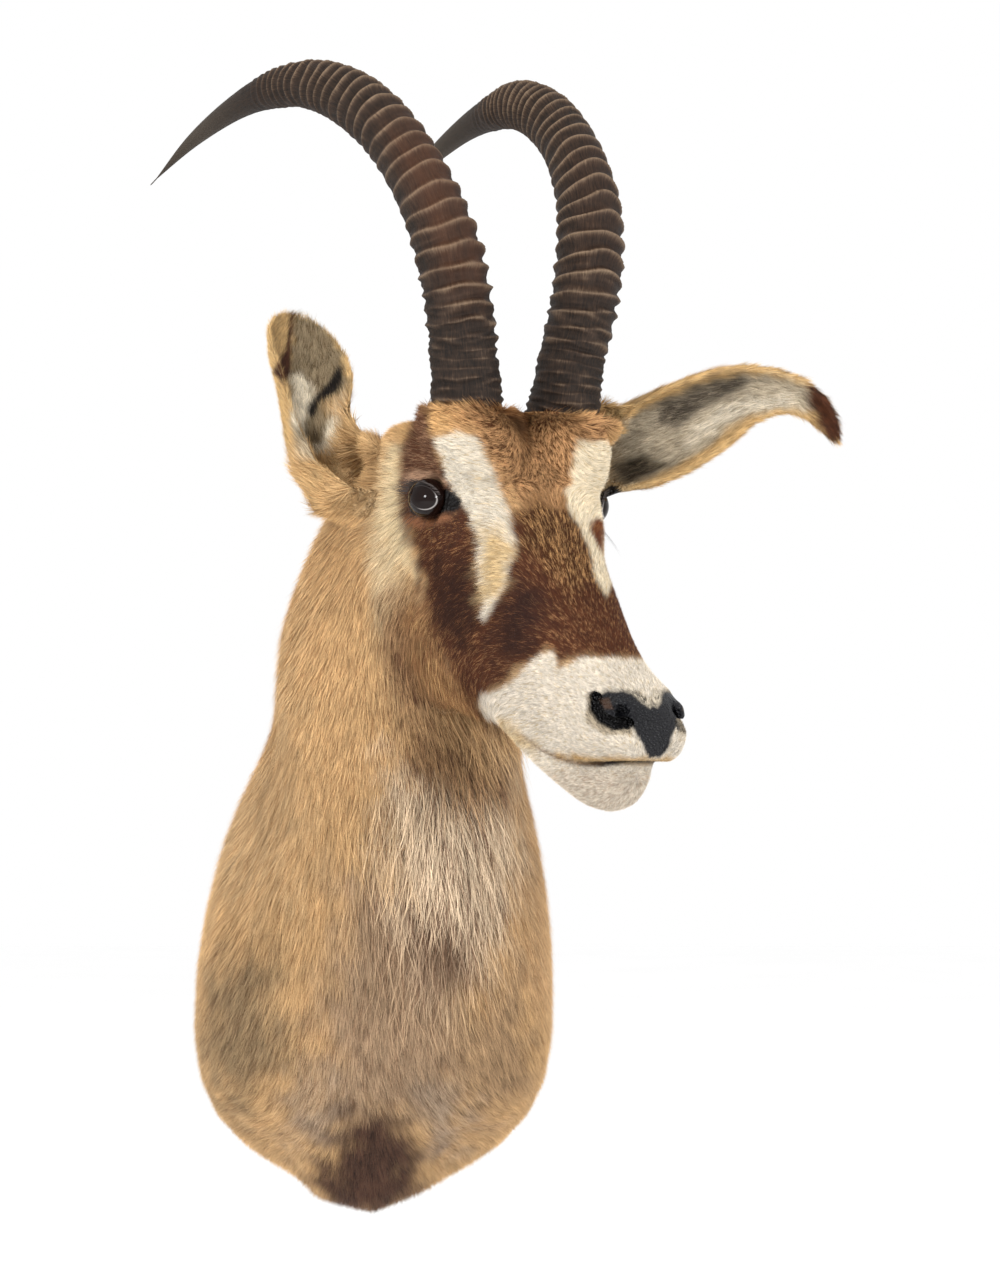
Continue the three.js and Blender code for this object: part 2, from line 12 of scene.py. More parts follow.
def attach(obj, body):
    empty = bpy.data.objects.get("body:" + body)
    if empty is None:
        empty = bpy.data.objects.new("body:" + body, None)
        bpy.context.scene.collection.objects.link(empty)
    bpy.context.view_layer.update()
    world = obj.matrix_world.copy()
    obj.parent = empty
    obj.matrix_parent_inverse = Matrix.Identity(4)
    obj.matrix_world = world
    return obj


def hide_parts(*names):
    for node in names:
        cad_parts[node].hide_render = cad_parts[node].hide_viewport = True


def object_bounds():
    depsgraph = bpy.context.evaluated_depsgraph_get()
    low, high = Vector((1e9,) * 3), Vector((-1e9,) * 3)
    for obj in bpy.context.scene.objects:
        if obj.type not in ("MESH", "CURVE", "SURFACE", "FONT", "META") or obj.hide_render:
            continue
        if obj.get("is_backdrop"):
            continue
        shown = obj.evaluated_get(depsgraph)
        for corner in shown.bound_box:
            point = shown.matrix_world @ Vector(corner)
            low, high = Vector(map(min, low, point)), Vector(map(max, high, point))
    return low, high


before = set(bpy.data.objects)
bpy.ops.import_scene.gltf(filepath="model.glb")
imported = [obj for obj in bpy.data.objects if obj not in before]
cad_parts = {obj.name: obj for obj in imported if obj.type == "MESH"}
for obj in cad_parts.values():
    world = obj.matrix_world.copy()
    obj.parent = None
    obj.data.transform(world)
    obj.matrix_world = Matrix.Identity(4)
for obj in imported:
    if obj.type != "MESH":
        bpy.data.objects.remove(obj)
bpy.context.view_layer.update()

# Camera
# A long lens 5.5 m in front of the wall and level with the animal's throat, looking straight at the wall.
PICTURE_WIDTH, PICTURE_HEIGHT = 1000, 1273
FOCAL_LENGTH_PIXELS = 5000
SENSOR = 36
CAMERA_AT = np.array((0.134, -5.5, 0.335))
camera_data = bpy.data.cameras.new("camera")
camera_data.sensor_width = SENSOR
camera_data.lens = FOCAL_LENGTH_PIXELS * SENSOR / PICTURE_HEIGHT
camera = bpy.data.objects.new("camera", camera_data)
camera.location = CAMERA_AT
camera.rotation_euler = (math.pi / 2, 0, 0)
bpy.context.scene.collection.objects.link(camera)
bpy.context.scene.camera = camera


def picture_place(points):
    """Where points lie in the camera's picture, in its pixels from the top left corner."""
    scale = FOCAL_LENGTH_PIXELS / (points[:, 1] - CAMERA_AT[1])
    across = PICTURE_WIDTH / 2 + (points[:, 0] - CAMERA_AT[0]) * scale
    down = PICTURE_HEIGHT / 2 - (points[:, 2] - CAMERA_AT[2]) * scale
    return np.stack([across, down], 1)


# The hide
# Tanned skin glued over a moulded foam form, head, neck, shoulders and ears in one. Its solid reaches to
# the tips of the hair, so the skin lies below that solid by the height at which the hair lies.
HEAD_PART_VOXEL = 0.003
NECK_PART_VOXEL = 0.0055
PART_OVERLAP = 0.08
CUT_AT, CUT_FACING = Vector((0.042, -0.262, 0.456)), Vector((0, -0.85, 0.527))
HAIR_LIFT = 0.26  # height of a lying hair's tip over its root, as a share of its length

# The head's own frame: from the point midway between the horns, u runs level to the nose, v to the animal's
# left and w up, in millimetres.
HORN_MIDPOINT = np.array((0.1485, -0.49, 0.5635))
HEAD_TURN, HEAD_ROLL = math.radians(34), math.radians(1.5)
TO_NOSE = np.array((math.sin(HEAD_TURN), -math.cos(HEAD_TURN), 0))
TO_LEFT = np.array((math.cos(HEAD_TURN), math.sin(HEAD_TURN), 0)) * math.cos(HEAD_ROLL)
TO_LEFT[2] = -math.sin(HEAD_ROLL)
HEAD_AXES = np.stack([TO_NOSE, TO_LEFT, np.cross(TO_NOSE, TO_LEFT)])

# Lines along the middle of the right ear and of the left one, from root to tip, and how far from its line a
# point may be and still surely, or just, belong to an ear.
EAR_LINES = np.array([
    [(-46, -440, 510), (-57, -432, 532), (-64, -394, 580), (-70, -334, 627), (-73, -271, 668)],
    [(230, -379, 530), (308, -385, 552), (386, -377, 584), (438, -369, 583), (479, -363, 536)],
]) / 1000
EAR_REACH = 0.055, 0.075

# The middle line of the right horn's root in the head's frame, as the horns' own section has it, the middle
# of the throat, and the ridge of the neck.
HORN_ROOT = np.array([(-0.004, -0.052, -0.024), (0.001, -0.058, 0.001), (0.004, -0.066, 0.054)])
THROAT = np.array((0.09, -0.425, 0.17))
NAPE = np.array([(0.02, -0.33, 0.58), (-0.04, -0.24, 0.5), (-0.05, -0.17, 0.42), (-0.045, -0.1, 0.33)])

# Length of the hair on each part, and how much it differs from that on smaller ones.
FACE_HAIR, EAR_HAIR, NECK_HAIR = 0.0075, 0.009, 0.022
MUZZLE_SHORTER, HORN_ROOT_LONGER, THROAT_LONGER, BRISKET_SHORTER = 0.0032, 0.005, 0.014, 0.006


def in_head(points):
    """Where points lie in the head's frame."""
    return (np.asarray(points) - HORN_MIDPOINT) @ HEAD_AXES.T * 1000


def head_place(places):
    """The points that lie at these places in the head's frame."""
    return HORN_MIDPOINT + np.asarray(places, float) / 1000 @ HEAD_AXES


def right_half(points):
    """The same points, with those of the head's left half mirrored to its right half."""
    places = in_head(points)
    places[:, 1] = -np.abs(places[:, 1])
    return head_place(places)


def between(low, high, values):
    """0 below low, 1 above high, and smooth between them."""
    t = np.clip((values - low) / (high - low), 0, 1)
    return t * t * (3 - 2 * t)


def unit(vectors):
    """The same directions with length 1."""
    return vectors / np.maximum(np.linalg.norm(vectors, axis=-1, keepdims=True), 1e-9)


def numbers(items, name, width):
    """What each item of a mesh holds under that name, as rows of numbers."""
    found = np.empty(len(items) * width, np.float32)
    items.foreach_get(name, found)
    return found.reshape(-1, width).astype(float)


def line_distance(points, line):
    """How far points are from a line of straight stretches, how far along it, and its direction there."""
    nearest = np.full(len(points), 1e9)
    along = np.zeros(len(points))
    heading = np.zeros((len(points), points.shape[1]))
    run = 0.0
    for start, end in zip(line[:-1], line[1:]):
        step = end - start
        length = np.linalg.norm(step)
        share = np.clip((points - start) @ step / length**2, 0, 1)
        gap = np.linalg.norm(points - start - share[:, None] * step, axis=1)
        closer = gap < nearest
        nearest[closer] = gap[closer]
        along[closer] = run + share[closer] * length
        heading[closer] = step / length
        run += length
    return nearest, along / run, heading


def ear_share(points):
    """How much each point belongs to an ear, from 0 to 1."""
    share = np.zeros(len(points))
    for line in EAR_LINES:
        gap, along, _ = line_distance(points, line)
        clear = np.maximum(between(96, 112, np.abs(in_head(points)[:, 1])), between(0.2, 0.4, along))
        share = np.maximum(share, (1 - between(*EAR_REACH, gap)) * between(-0.1, 0.12, along) * clear)
    return share


def plain_object(name, mesh):
    made = bpy.data.objects.new(name, mesh)
    bpy.context.scene.collection.objects.link(made)
    return made


def mesh_object(name, corners, faces):
    mesh = bpy.data.meshes.new(name)
    mesh.from_pydata(corners, [], faces)
    return plain_object(name, mesh)


def settled(made):
    """The object with its modifiers worked into its mesh."""
    bpy.context.view_layer.update()
    mesh = bpy.data.meshes.new_from_object(made.evaluated_get(bpy.context.evaluated_depsgraph_get()))
    made.modifiers.clear()
    made.data = mesh
    mesh.name = made.name
    return made


def hide_part(name, shift, facing, voxel):
    """The part of the hide's solid on one side of a cut through the neck, as an even mesh."""
    cut = bmesh.new()
    cut.from_mesh(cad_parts["hide"].data)
    bmesh.ops.remove_doubles(cut, verts=cut.verts, dist=1e-5)
    everything = [*cut.verts, *cut.edges, *cut.faces]
    plane = CUT_AT + CUT_FACING * shift
    bmesh.ops.bisect_plane(cut, geom=everything, plane_co=plane, plane_no=facing, clear_inner=True)
    bmesh.ops.holes_fill(cut, edges=[edge for edge in cut.edges if edge.is_boundary])
    mesh = bpy.data.meshes.new(name)
    cut.to_mesh(mesh)
    cut.free()
    made = plain_object(name, mesh)
    remesh = made.modifiers.new("even", "REMESH")
    remesh.mode = "VOXEL"
    remesh.voxel_size = voxel
    remesh.use_smooth_shade = True
    return settled(made)


def smooth(made, weights, rounds):
    """Smooths a mesh, each point by its weight from 0 to 1."""
    steps = 20
    group = made.vertex_groups.new(name="soft")
    levels = np.round(np.clip(weights, 0, 1) * steps).astype(int)
    for level in range(1, steps + 1):
        group.add(np.flatnonzero(levels == level).tolist(), level / steps, "REPLACE")
    modifier = made.modifiers.new("smooth", "SMOOTH")
    modifier.factor = 0.5
    modifier.iterations = rounds
    modifier.vertex_group = "soft"
    settled(made)
    made.vertex_groups.clear()


def refine(made, chosen):
    """Cuts the faces whose middles are chosen into four."""
    cut = bmesh.new()
    cut.from_mesh(made.data)
    middles = np.array([face.calc_center_median() for face in cut.faces])
    wanted = chosen(in_head(middles))
    edges = {edge for face, take in zip(cut.faces, wanted) if take for edge in face.edges}
    bmesh.ops.subdivide_edges(cut, edges=list(edges), cuts=1, use_grid_fill=True)
    cut.to_mesh(made.data)
    cut.free()


def places_of(made):
    return numbers(made.data.vertices, "co", 3)


def facing_of(made):
    made.data.update()
    return numbers(made.data.vertices, "normal", 3)


def move_to(made, points):
    made.data.vertices.foreach_set("co", points.astype(np.float32).ravel())
    made.data.update()


def horn_gap(points):
    """How far points are from the middle line of the nearer horn's root, in mm."""
    places = in_head(right_half(points)) / 1000
    return line_distance(places, HORN_ROOT)[0] * 1000


def hair_length(points):
    """Length of the hair: short on the face and ears, long on the neck and longest on the throat."""
    u, _, w = in_head(points).T
    ear = ear_share(points)
    to_face = between(-120, -30, u + 0.35 * (w + 94))
    to_throat = 1 - between(0.0, 0.12, np.linalg.norm((points - THROAT) * (1, 1, 0.4), axis=1))
    length = NECK_HAIR + (FACE_HAIR - NECK_HAIR) * to_face
    length -= MUZZLE_SHORTER * between(90, 170, u) * to_face
    length += HORN_ROOT_LONGER * (1 - between(0, 26, horn_gap(points) - 40)) * to_face
    length += THROAT_LONGER * to_throat * (1 - to_face)
    length -= BRISKET_SHORTER * (1 - between(-0.2, 0.0, points[:, 2])) * (1 - to_face)
    return length * (1 - ear) + EAR_HAIR * ear


skin_neck = hide_part("skin_neck", PART_OVERLAP / 2, -CUT_FACING, NECK_PART_VOXEL)
skin_head = hide_part("skin_head", -PART_OVERLAP / 2, CUT_FACING, HEAD_PART_VOXEL)

for part in (skin_neck, skin_head):
    points = places_of(part)
    back_edge = 1 - between(0.004, 0.03, -points[:, 1])
    smooth(part, 1 - 0.85 * ear_share(points) - back_edge, 22)

# The glass eyes lie a little further out than the solid's, at this place and radius in the head's frame. The
# opening between the lids is an oval of these half lengths, in mm along the ball, and slants.
EYE_CENTRE, EYE_RADIUS = np.array((-5, -97.5, -94)), 20
EYE_GAZE, EYE_AHEAD, EYE_UP = np.array((0.588, -0.809, 0)), np.array((0.809, 0.588, 0)), np.array((0, 0, 1))
OPENING_LENGTH, OPENING_HEIGHT, OPENING_SLANT = 18.8, 14.6, 0.14
LID_THICKNESS, LID_EDGE_DEPTH = 2.0, 4.5
EYE_SURROUNDINGS = 60  # mm from the eye's middle within which its lids shape the skin and the hair


def round_eye(places):
    """Where places lie round the right eye: arcs ahead and up on its ball, distance from its middle, and
    level, which is how many times as far out as the edge of the lids they are."""
    away = places - EYE_CENTRE
    distance = np.linalg.norm(away, axis=1)
    way = away / distance[:, None]
    angle = np.arccos(np.clip(way @ EYE_GAZE, -1, 1))
    stretch = EYE_RADIUS * angle / np.maximum(np.sin(angle), 1e-3)
    ahead, up = way @ EYE_AHEAD * stretch, way @ EYE_UP * stretch
    level = np.hypot(ahead / OPENING_LENGTH, (up + OPENING_SLANT * ahead) / OPENING_HEIGHT)
    return ahead, up, distance, level


def near_eye(places):
    """How far places in the head's frame are from the nearer eye's middle, in mm."""
    return np.linalg.norm(places * (1, 0, 1) - np.abs(places) * (0, 1, 0) - EYE_CENTRE, axis=1)


refine(skin_head, lambda places: places[:, 0] > 168)
refine(skin_head, lambda places: (places[:, 0] > 212) & (places[:, 2] > -352) & (places[:, 2] < -276))
refine(skin_head, lambda places: near_eye(places) < 46)
refine(skin_head, lambda places: near_eye(places) < 36)
head_places = in_head(places_of(skin_head))
refined = np.maximum(between(150, 170, head_places[:, 0]), 1 - between(36, 46, near_eye(head_places)))
smooth(skin_head, refined, 3)

# The mouth, the nostril, the bare pad of the nose, the dark edge of the nostril, the bare edge of the lids,
# and the creases before the ear, drawn as they lie in the camera's picture, in pixels, on the right half of
# the head. The left half mirrors them.
MOUTH_LINE = np.array([
    (504, 721), (526, 739), (540, 749), (554, 756), (567, 761), (584, 764), (606, 765), (626, 764),
    (646, 764), (662, 764),
], float)
NOSTRIL = np.array([(594, 699), (594, 710), (601, 720), (612, 726), (626, 725)], float)
NOSTRIL_REACH, NOSTRIL_DEPTH = 8.0, 17
NOSE_PAD = [
    (598, 695), (608, 691), (622, 691), (633, 695), (642, 702), (650, 708), (657, 702), (666, 697),
    (700, 692), (700, 758), (649, 758), (643, 746), (637, 733), (629, 722), (616, 721), (601, 715),
    (596, 704),
]
WING = [(599, 699), (609, 698), (613, 709), (605, 709)]
EYE_RIM = [
    (396, 488), (403, 484), (416, 480), (425, 480), (435, 483), (443, 487), (451, 491), (458, 496),
    (463, 502), (462, 507), (455, 511), (446, 511), (439, 514), (430, 518), (419, 517), (410, 512),
    (405, 505), (403, 496), (402, 490),
]
EAR_CREASES = [
    np.array([(356, 434), (358, 465), (356, 497)], float),
    np.array([(364, 434), (366, 462), (363, 498)], float),
    np.array([(381, 430), (386, 446), (382, 470), (378, 484)], float),
]
# Swellings and hollows in the head's frame: centre, reach and push outwards in mm. The first lie on both
# sides. Those of the left side lower the brow over that eye.
FACE_FORMS = [
    ((-72, -90, -30), (36, 26, 26), 21),
    ((-118, -116, -60), (26, 24, 26), 13),
    ((20, -104, 2), (34, 18, 22), -9),
    ((238, -40, -296), (9, 9, 8), 3.5),
    ((216, -60, -322), (20, 12, 16), 2.5),
    ((236, -18, -338), (18, 16, 10), 1.5),
    ((150, -48, -300), (30, 18, 22), -3),
    ((215, -20, -372), (26, 26, 20), -2.5),
]
LEFT_FORMS = [((22, 100, 0), (36, 22, 28), -21), ((30, 70, 14), (26, 30, 20), -13)]
# How deep the mouth and the creases are cut, in metres, and how wide, in pixels of the picture.
MOUTH_DEPTH, CREASE_DEPTH = 0.0045, 0.0025
MOUTH_WIDTH, CREASE_WIDTH = 1.9, 1.8
# Round the eye, as shares of the way from its middle to the lids' edge: that edge, the swelling of the lids
# and the groove inside it, with their widths, and where the lids run out into the skin.
LID_EDGE, LIDS_END = (0.93, 1.03), (1.5, 2.7)
SWELLING_AT, SWELLING_WIDTH = 1.75, 0.22
GROOVE_AT, GROOVE_WIDTH = 1.42, 0.12


def round_the_lids(places):
    """Draws the skin near an eye onto the ball as lids, with an opening that the ball fills."""
    _, up, distance, level = round_eye(places)
    target = EYE_RADIUS + LID_THICKNESS - (LID_THICKNESS + LID_EDGE_DEPTH) * (1 - between(*LID_EDGE, level))
    fold = np.exp(-(((level - SWELLING_AT) / SWELLING_WIDTH) ** 2))
    fold = fold - 0.9 * np.exp(-(((level - GROOVE_AT) / GROOVE_WIDTH) ** 2))
    target += (level - 1.05).clip(0) * 2.5 + fold * np.where(up > 0, 1.6, 1.0)
    share = (1 - between(*LIDS_END, level)) * (1 - between(34, 44, distance))
    return places + (places - EYE_CENTRE) * (share * (target / distance - 1))[:, None]


def on_skin(points):
    """Shares of each point in the nostril, in the mouth's groove and in the creases, and the lids' level."""
    mirrored = right_half(points)
    seen, places = picture_place(mirrored), in_head(mirrored)
    at_nose = between(190, 205, places[:, 0])
    nostril = (1 - between(0.55, 1.1, line_distance(seen, NOSTRIL)[0] / NOSTRIL_REACH)) * at_nose
    gap, along, _ = line_distance(seen, MOUTH_LINE)
    mouth = np.exp(-((gap / MOUTH_WIDTH) ** 2)) * between(0, 0.3, along) * (places[:, 2] < -280)
    creases = sum(np.exp(-((line_distance(seen, line)[0] / CREASE_WIDTH) ** 2)) for line in EAR_CREASES)
    creases *= (places[:, 0] < -40) * (points[:, 1] < -0.4)
    creases = np.minimum(creases, 1)
    return {"nostril": nostril, "mouth": mouth, "creases": creases, "lids": round_eye(places)[3]}


def shaped_skin(made):
    """Shapes the lids, nostrils, mouth and creases, and lowers the skin below the hair."""
    points, facing = places_of(made), facing_of(made)
    places = in_head(right_half(points))
    kept = on_skin(points)
    push = -HAIR_LIFT * hair_length(points) * between(0.003, 0.03, -points[:, 1])
    push *= between(1.0, 2.2, kept["lids"])
    for centre, reach, out in FACE_FORMS:
        push += out / 1000 * np.exp(-(((places - centre) / reach) ** 2).sum(1))
    for centre, reach, out in LEFT_FORMS:
        push += out / 1000 * np.exp(-(((in_head(points) - centre) / reach) ** 2).sum(1))
    push -= MOUTH_DEPTH * kept["mouth"] + CREASE_DEPTH * kept["creases"]
    side = np.sign(in_head(points)[:, 1:2])
    inwards = -TO_NOSE * 0.45 - side * TO_LEFT * 0.75 + np.array((0, 0, 0.25))
    points = points + facing * push[:, None] + inwards * (kept["nostril"] * NOSTRIL_DEPTH / 1000)[:, None]
    places = in_head(points)
    mirror = np.where(places[:, 1:2] > 0, (1, -1, 1), (1, 1, 1))
    close = near_eye(places) < EYE_SURROUNDINGS
    places[close] = round_the_lids(places[close] * mirror[close]) * mirror[close]
    move_to(made, head_place(places))
    return kept


shares = {part.name: shaped_skin(part) for part in (skin_neck, skin_head)}

# Markings. Each outline is drawn where it lies in the camera's picture, in pixels. Those of the head are
# drawn on its right half, and its left half mirrors them.
HEAD_MARKINGS = [
    # name, colour, colour of the odd hairs, their share, softness in pixels, outline
    ("golden top", "#bf9866", "#9c7548", 0.3, 22,
     [(330, 380), (640, 380), (640, 440), (470, 440), (400, 450), (330, 480)]),
    ("pale band before ear", "#c6b08c", "#a78a62", 0.25, 14,
     [(322, 500), (400, 490), (415, 535), (400, 600), (350, 640), (325, 560)]),
    ("cream behind eye", "#cdb994", "#b59a70", 0.2, 8,
     [(392, 440), (404, 450), (405, 500), (411, 535), (420, 560), (424, 582), (405, 560), (388, 520),
      (384, 470)]),
    ("mottled cheek", "#8f6d4b", "#4c3020", 0.45, 20,
     [(388, 585), (425, 585), (450, 640), (480, 712), (472, 745), (430, 745), (395, 715), (380, 660)]),
    ("forehead", "#bb8f62", "#4f2e18", 0.47, 12,
     [(440, 404), (640, 404), (640, 500), (600, 530), (560, 545), (525, 530), (500, 470), (470, 425)]),
    ("dark mask", "#452412", "#8b6340", 0.26, 9,
     [(405, 506), (411, 529), (417, 552), (424, 580), (424, 604), (428, 630), (442, 660), (456, 692),
      (467, 716), (478, 697), (504, 687), (526, 667), (548, 656), (574, 662), (599, 662), (633, 657),
      (680, 657), (640, 560), (600, 520), (570, 524), (545, 512), (522, 516), (480, 520), (464, 500),
      (440, 516)]),
    ("edge of mask", "#6f4a2e", "#a98458", 0.45, 12,
     [(412, 590), (430, 600), (446, 650), (470, 705), (468, 738), (438, 702), (414, 650)]),
    ("deep of mask", "#2e170c", "#5f3d24", 0.18, 16,
     [(432, 560), (470, 560), (482, 620), (470, 650), (440, 630)]),
    ("deep under stripe", "#2e180f", "#5f3d26", 0.16, 16,
     [(500, 610), (530, 580), (548, 610), (530, 650), (495, 660)]),
    ("bridge of dark hair", "#40240f", "#a47c50", 0.36, 12,
     [(522, 512), (545, 500), (572, 520), (600, 560), (575, 600), (545, 560), (525, 550)]),
    ("brow", "#4f3120", "#8b6a50", 0.3, 4,
     [(424, 402), (437, 412), (439, 446), (452, 484), (404, 484), (402, 458), (411, 436)]),
    ("round eye", "#4b3020", "#6f5036", 0.3, 3,
     [(402, 480), (452, 482), (464, 498), (465, 511), (440, 522), (404, 514)]),
    ("upper lid fold", "#a58368", "#6f5040", 0.3, 3,
     [(408, 474), (422, 469), (438, 473), (450, 484), (408, 482)]),
    ("lower lid fold", "#8a5c3f", "#503022", 0.3, 3,
     [(408, 514), (425, 519), (446, 515), (452, 519), (425, 527), (410, 521)]),
    ("white stripe", "#cdc3b2", "#bda67e", 0.2, 3,
     [(439, 443), (446, 437), (463, 434), (480, 438), (488, 455), (496, 471), (503, 491), (514, 519),
      (518, 541), (514, 570), (508, 587), (497, 607), (487, 621), (483, 613), (488, 597), (483, 582),
      (480, 560), (480, 535), (471, 515), (464, 506), (456, 494), (449, 480), (443, 462)]),
    ("tan of stripe", "#c2a97f", "#a2855a", 0.3, 10,
     [(482, 530), (512, 530), (514, 560), (504, 590), (486, 606), (484, 580)]),
    ("white muzzle", "#c9bfb0", "#b39f7c", 0.2, 3,
     [(467, 716), (480, 692), (501, 687), (514, 682), (526, 669), (546, 652), (554, 651), (559, 671),
      (570, 665), (581, 658), (637, 660), (700, 652), (720, 830), (560, 830), (500, 752), (484, 742)]),
    ("corner of mouth", "#bfa985", "#9d815c", 0.3, 7,
     [(480, 722), (500, 716), (540, 744), (540, 756), (500, 742)]),
    ("lip edge", "#b79768", "#8d6c42", 0.3, 4,
     [(556, 751), (600, 758), (690, 757), (690, 764), (600, 764), (556, 759)]),
    ("right of lip", "#bb9d6c", "#987848", 0.3, 6,
     [(660, 740), (676, 728), (690, 735), (676, 762), (660, 762)]),
    ("chin shade", "#bdb1a0", "#978370", 0.3, 9,
     [(530, 764), (600, 772), (660, 770), (650, 812), (580, 816)]),
    ("nose wings", "#a57c4b", "#5b4029", 0.4, 3, [(600, 697), (611, 697), (613, 711), (603, 715)]),
    ("dusky nose", "#c4b8a4", "#1f1e20", 0.5, 3,
     [(598, 694), (612, 690), (636, 692), (652, 702), (664, 694), (690, 692), (690, 702), (652, 710),
      (606, 702)]),
    ("round nostril", "#a89a84", "#2c2624", 0.35, 2,
     [(587, 696), (600, 692), (606, 714), (632, 720), (632, 735), (606, 736), (587, 724)]),
    ("nose pad", "#121216", "#121216", 0, 2, NOSE_PAD),
]
# Markings of one side only: those of the left half and those of the right half.
LEFT_MARKINGS = [
    ("left stripe", "#d3c5ab", "#b59b70", 0.2, 3,
     [(575, 436), (594, 440), (640, 450), (640, 530), (606, 600), (596, 580), (588, 548), (577, 525),
      (567, 510), (564, 493), (571, 463)]),
    ("red under left eye", "#59290f", "#8a5c33", 0.3, 3,
     [(590, 523), (602, 519), (650, 515), (650, 590), (608, 566), (599, 552), (590, 535)]),
]
RIGHT_MARKINGS = [
    ("whorl", "#4a3122", "#7c5b3c", 0.3, 5, [(512, 414), (524, 412), (529, 421), (522, 430), (512, 426)]),
]
RIGHT_EAR_MARKINGS = [
    ("grey of right ear", "#84745b", "#54442f", 0.4, 4,
     [(291, 316), (303, 312), (322, 326), (340, 352), (350, 385), (350, 430), (335, 465), (305, 465),
      (295, 430), (288, 395), (291, 350)]),
    ("pale of right ear", "#ddd1ba", "#a99a80", 0.25, 5,
     [(290, 384), (302, 378), (312, 395), (306, 440), (318, 450), (346, 404), (350, 424), (335, 465),
      (305, 465), (296, 425)]),
    ("black of right ear", "#14100e", "#3a3027", 0.15, 2,
     [(342, 370), (345, 385), (340, 396), (322, 409), (312, 424), (307, 414), (318, 398), (330, 386),
      (337, 374)]),
    ("tuft of right ear", "#54452f", "#2c231a", 0.4, 5,
     [(300, 432), (322, 436), (330, 455), (318, 462), (304, 450)]),
    ("fold of right ear", "#46281a", "#2a1710", 0.3, 1.6,
     [(288, 311), (292, 311), (290, 350), (291, 376), (284, 386), (276, 378), (279, 362), (285, 350)]),
]
LEFT_EAR_MARKINGS = [
    ("inside of left ear", "#bfb199", "#8a7c66", 0.35, 4,
     [(600, 436), (640, 410), (690, 388), (730, 377), (757, 372), (800, 382), (822, 402), (800, 408),
      (770, 408), (745, 418), (722, 434), (690, 458), (660, 474), (625, 485), (606, 480)]),
    ("pale of left ear", "#ded3bf", "#a5977f", 0.3, 6,
     [(690, 430), (730, 402), (790, 394), (785, 402), (750, 410), (715, 430), (680, 450)]),
    ("dark of left ear", "#4c443a", "#8a7d6a", 0.35, 6,
     [(650, 408), (690, 386), (732, 374), (744, 382), (728, 396), (694, 408), (672, 432), (656, 426)]),
    ("low dark of left ear", "#40372c", "#857761", 0.35, 4,
     [(606, 464), (640, 458), (662, 468), (640, 480), (612, 482)]),
    ("tip of left ear", "#4e2c1a", "#2b1a12", 0.3, 5,
     [(806, 376), (830, 392), (850, 440), (824, 440), (812, 416), (804, 396)]),
]
COAT_MARKINGS = [
    ("golden side", "#c5a57a", "#9c754a", 0.3, 36, [(180, 560), (300, 560), (300, 900), (150, 900)]),
    ("right of neck", "#c5a176", "#9c7750", 0.3, 20,
     [(498, 760), (575, 860), (575, 1020), (510, 985), (494, 880)]),
    ("shoulder grey", "#98805f", "#654d36", 0.4, 34,
     [(212, 960), (272, 935), (290, 1040), (240, 1120), (200, 1040)]),
    ("chest", "#a58a6d", "#6f553f", 0.38, 34,
     [(350, 860), (480, 860), (470, 1060), (440, 1120), (325, 1120), (325, 1000)]),
    # Painted shade: the lower right of the neck is greyer and darker where it turns from the light.
    ("right grey", "#a48664", "#6f573f", 0.35, 30, [(455, 1000), (515, 960), (530, 1080), (470, 1130)]),
    ("throat", "#c4ae92", "#6b5342", 0.36, 34,
     [(390, 740), (512, 752), (504, 890), (440, 970), (390, 850)]),
    # Painted shade: the underside of the jaw is darker brown.
    ("under cheek", "#8b6c4c", "#4f3726", 0.4, 16,
     [(400, 690), (450, 715), (500, 745), (500, 775), (440, 765), (400, 740)]),
    ("smudge", "#80654e", "#5b4331", 0.5, 24, [(418, 890), (452, 890), (455, 955), (428, 960)]),
    ("brisket side", "#aa937a", "#6a5340", 0.4, 26, [(285, 1085), (335, 1065), (332, 1130), (300, 1140)]),
    ("other side", "#a8927a", "#6a5340", 0.4, 26, [(415, 1070), (455, 1080), (450, 1150), (425, 1150)]),
    # Painted shade: the brisket is dark brown at the bottom, where it faces down.
    ("brisket", "#50372a", "#2a1a12", 0.4, 24,
     [(352, 1112), (398, 1108), (420, 1145), (408, 1215), (325, 1215), (318, 1180)]),
]


def colour_of(code):
    """A colour written as an sRGB hex value, as linear red, green and blue."""
    parts = np.array([int(code[place : place + 2], 16) / 255 for place in (1, 3, 5)])
    return np.where(parts <= 0.04045, parts / 12.92, ((parts + 0.055) / 1.055) ** 2.4)


def opaque(code):
    """The same, as a node's colour socket takes it."""
    return (*colour_of(code), 1)


def inside(places, outline):
    """How far places are inside an outline, in its own units, and less than 0 outside it."""
    corners = np.array(outline, float)
    within = np.zeros(len(places), bool)
    for (ax, ay), (bx, by) in zip(corners, np.roll(corners, -1, 0)):
        if ay == by:
            continue
        crosses = (ay > places[:, 1]) != (by > places[:, 1])
        meet = ax + (places[:, 1] - ay) / (by - ay) * (bx - ax)
        within ^= crosses & (places[:, 0] < meet)
    gap, _, _ = line_distance(places, np.vstack([corners, corners[:1]]))
    return np.where(within, gap, -gap)


def rough(points, scale, seed=0):
    """Smooth noise from -1 to 1 with lumps of about that size."""
    offset = Vector((seed * 7.3, seed * 3.1, seed * 5.7))
    return np.array([noise.noise(Vector(point) / scale + offset) for point in points])


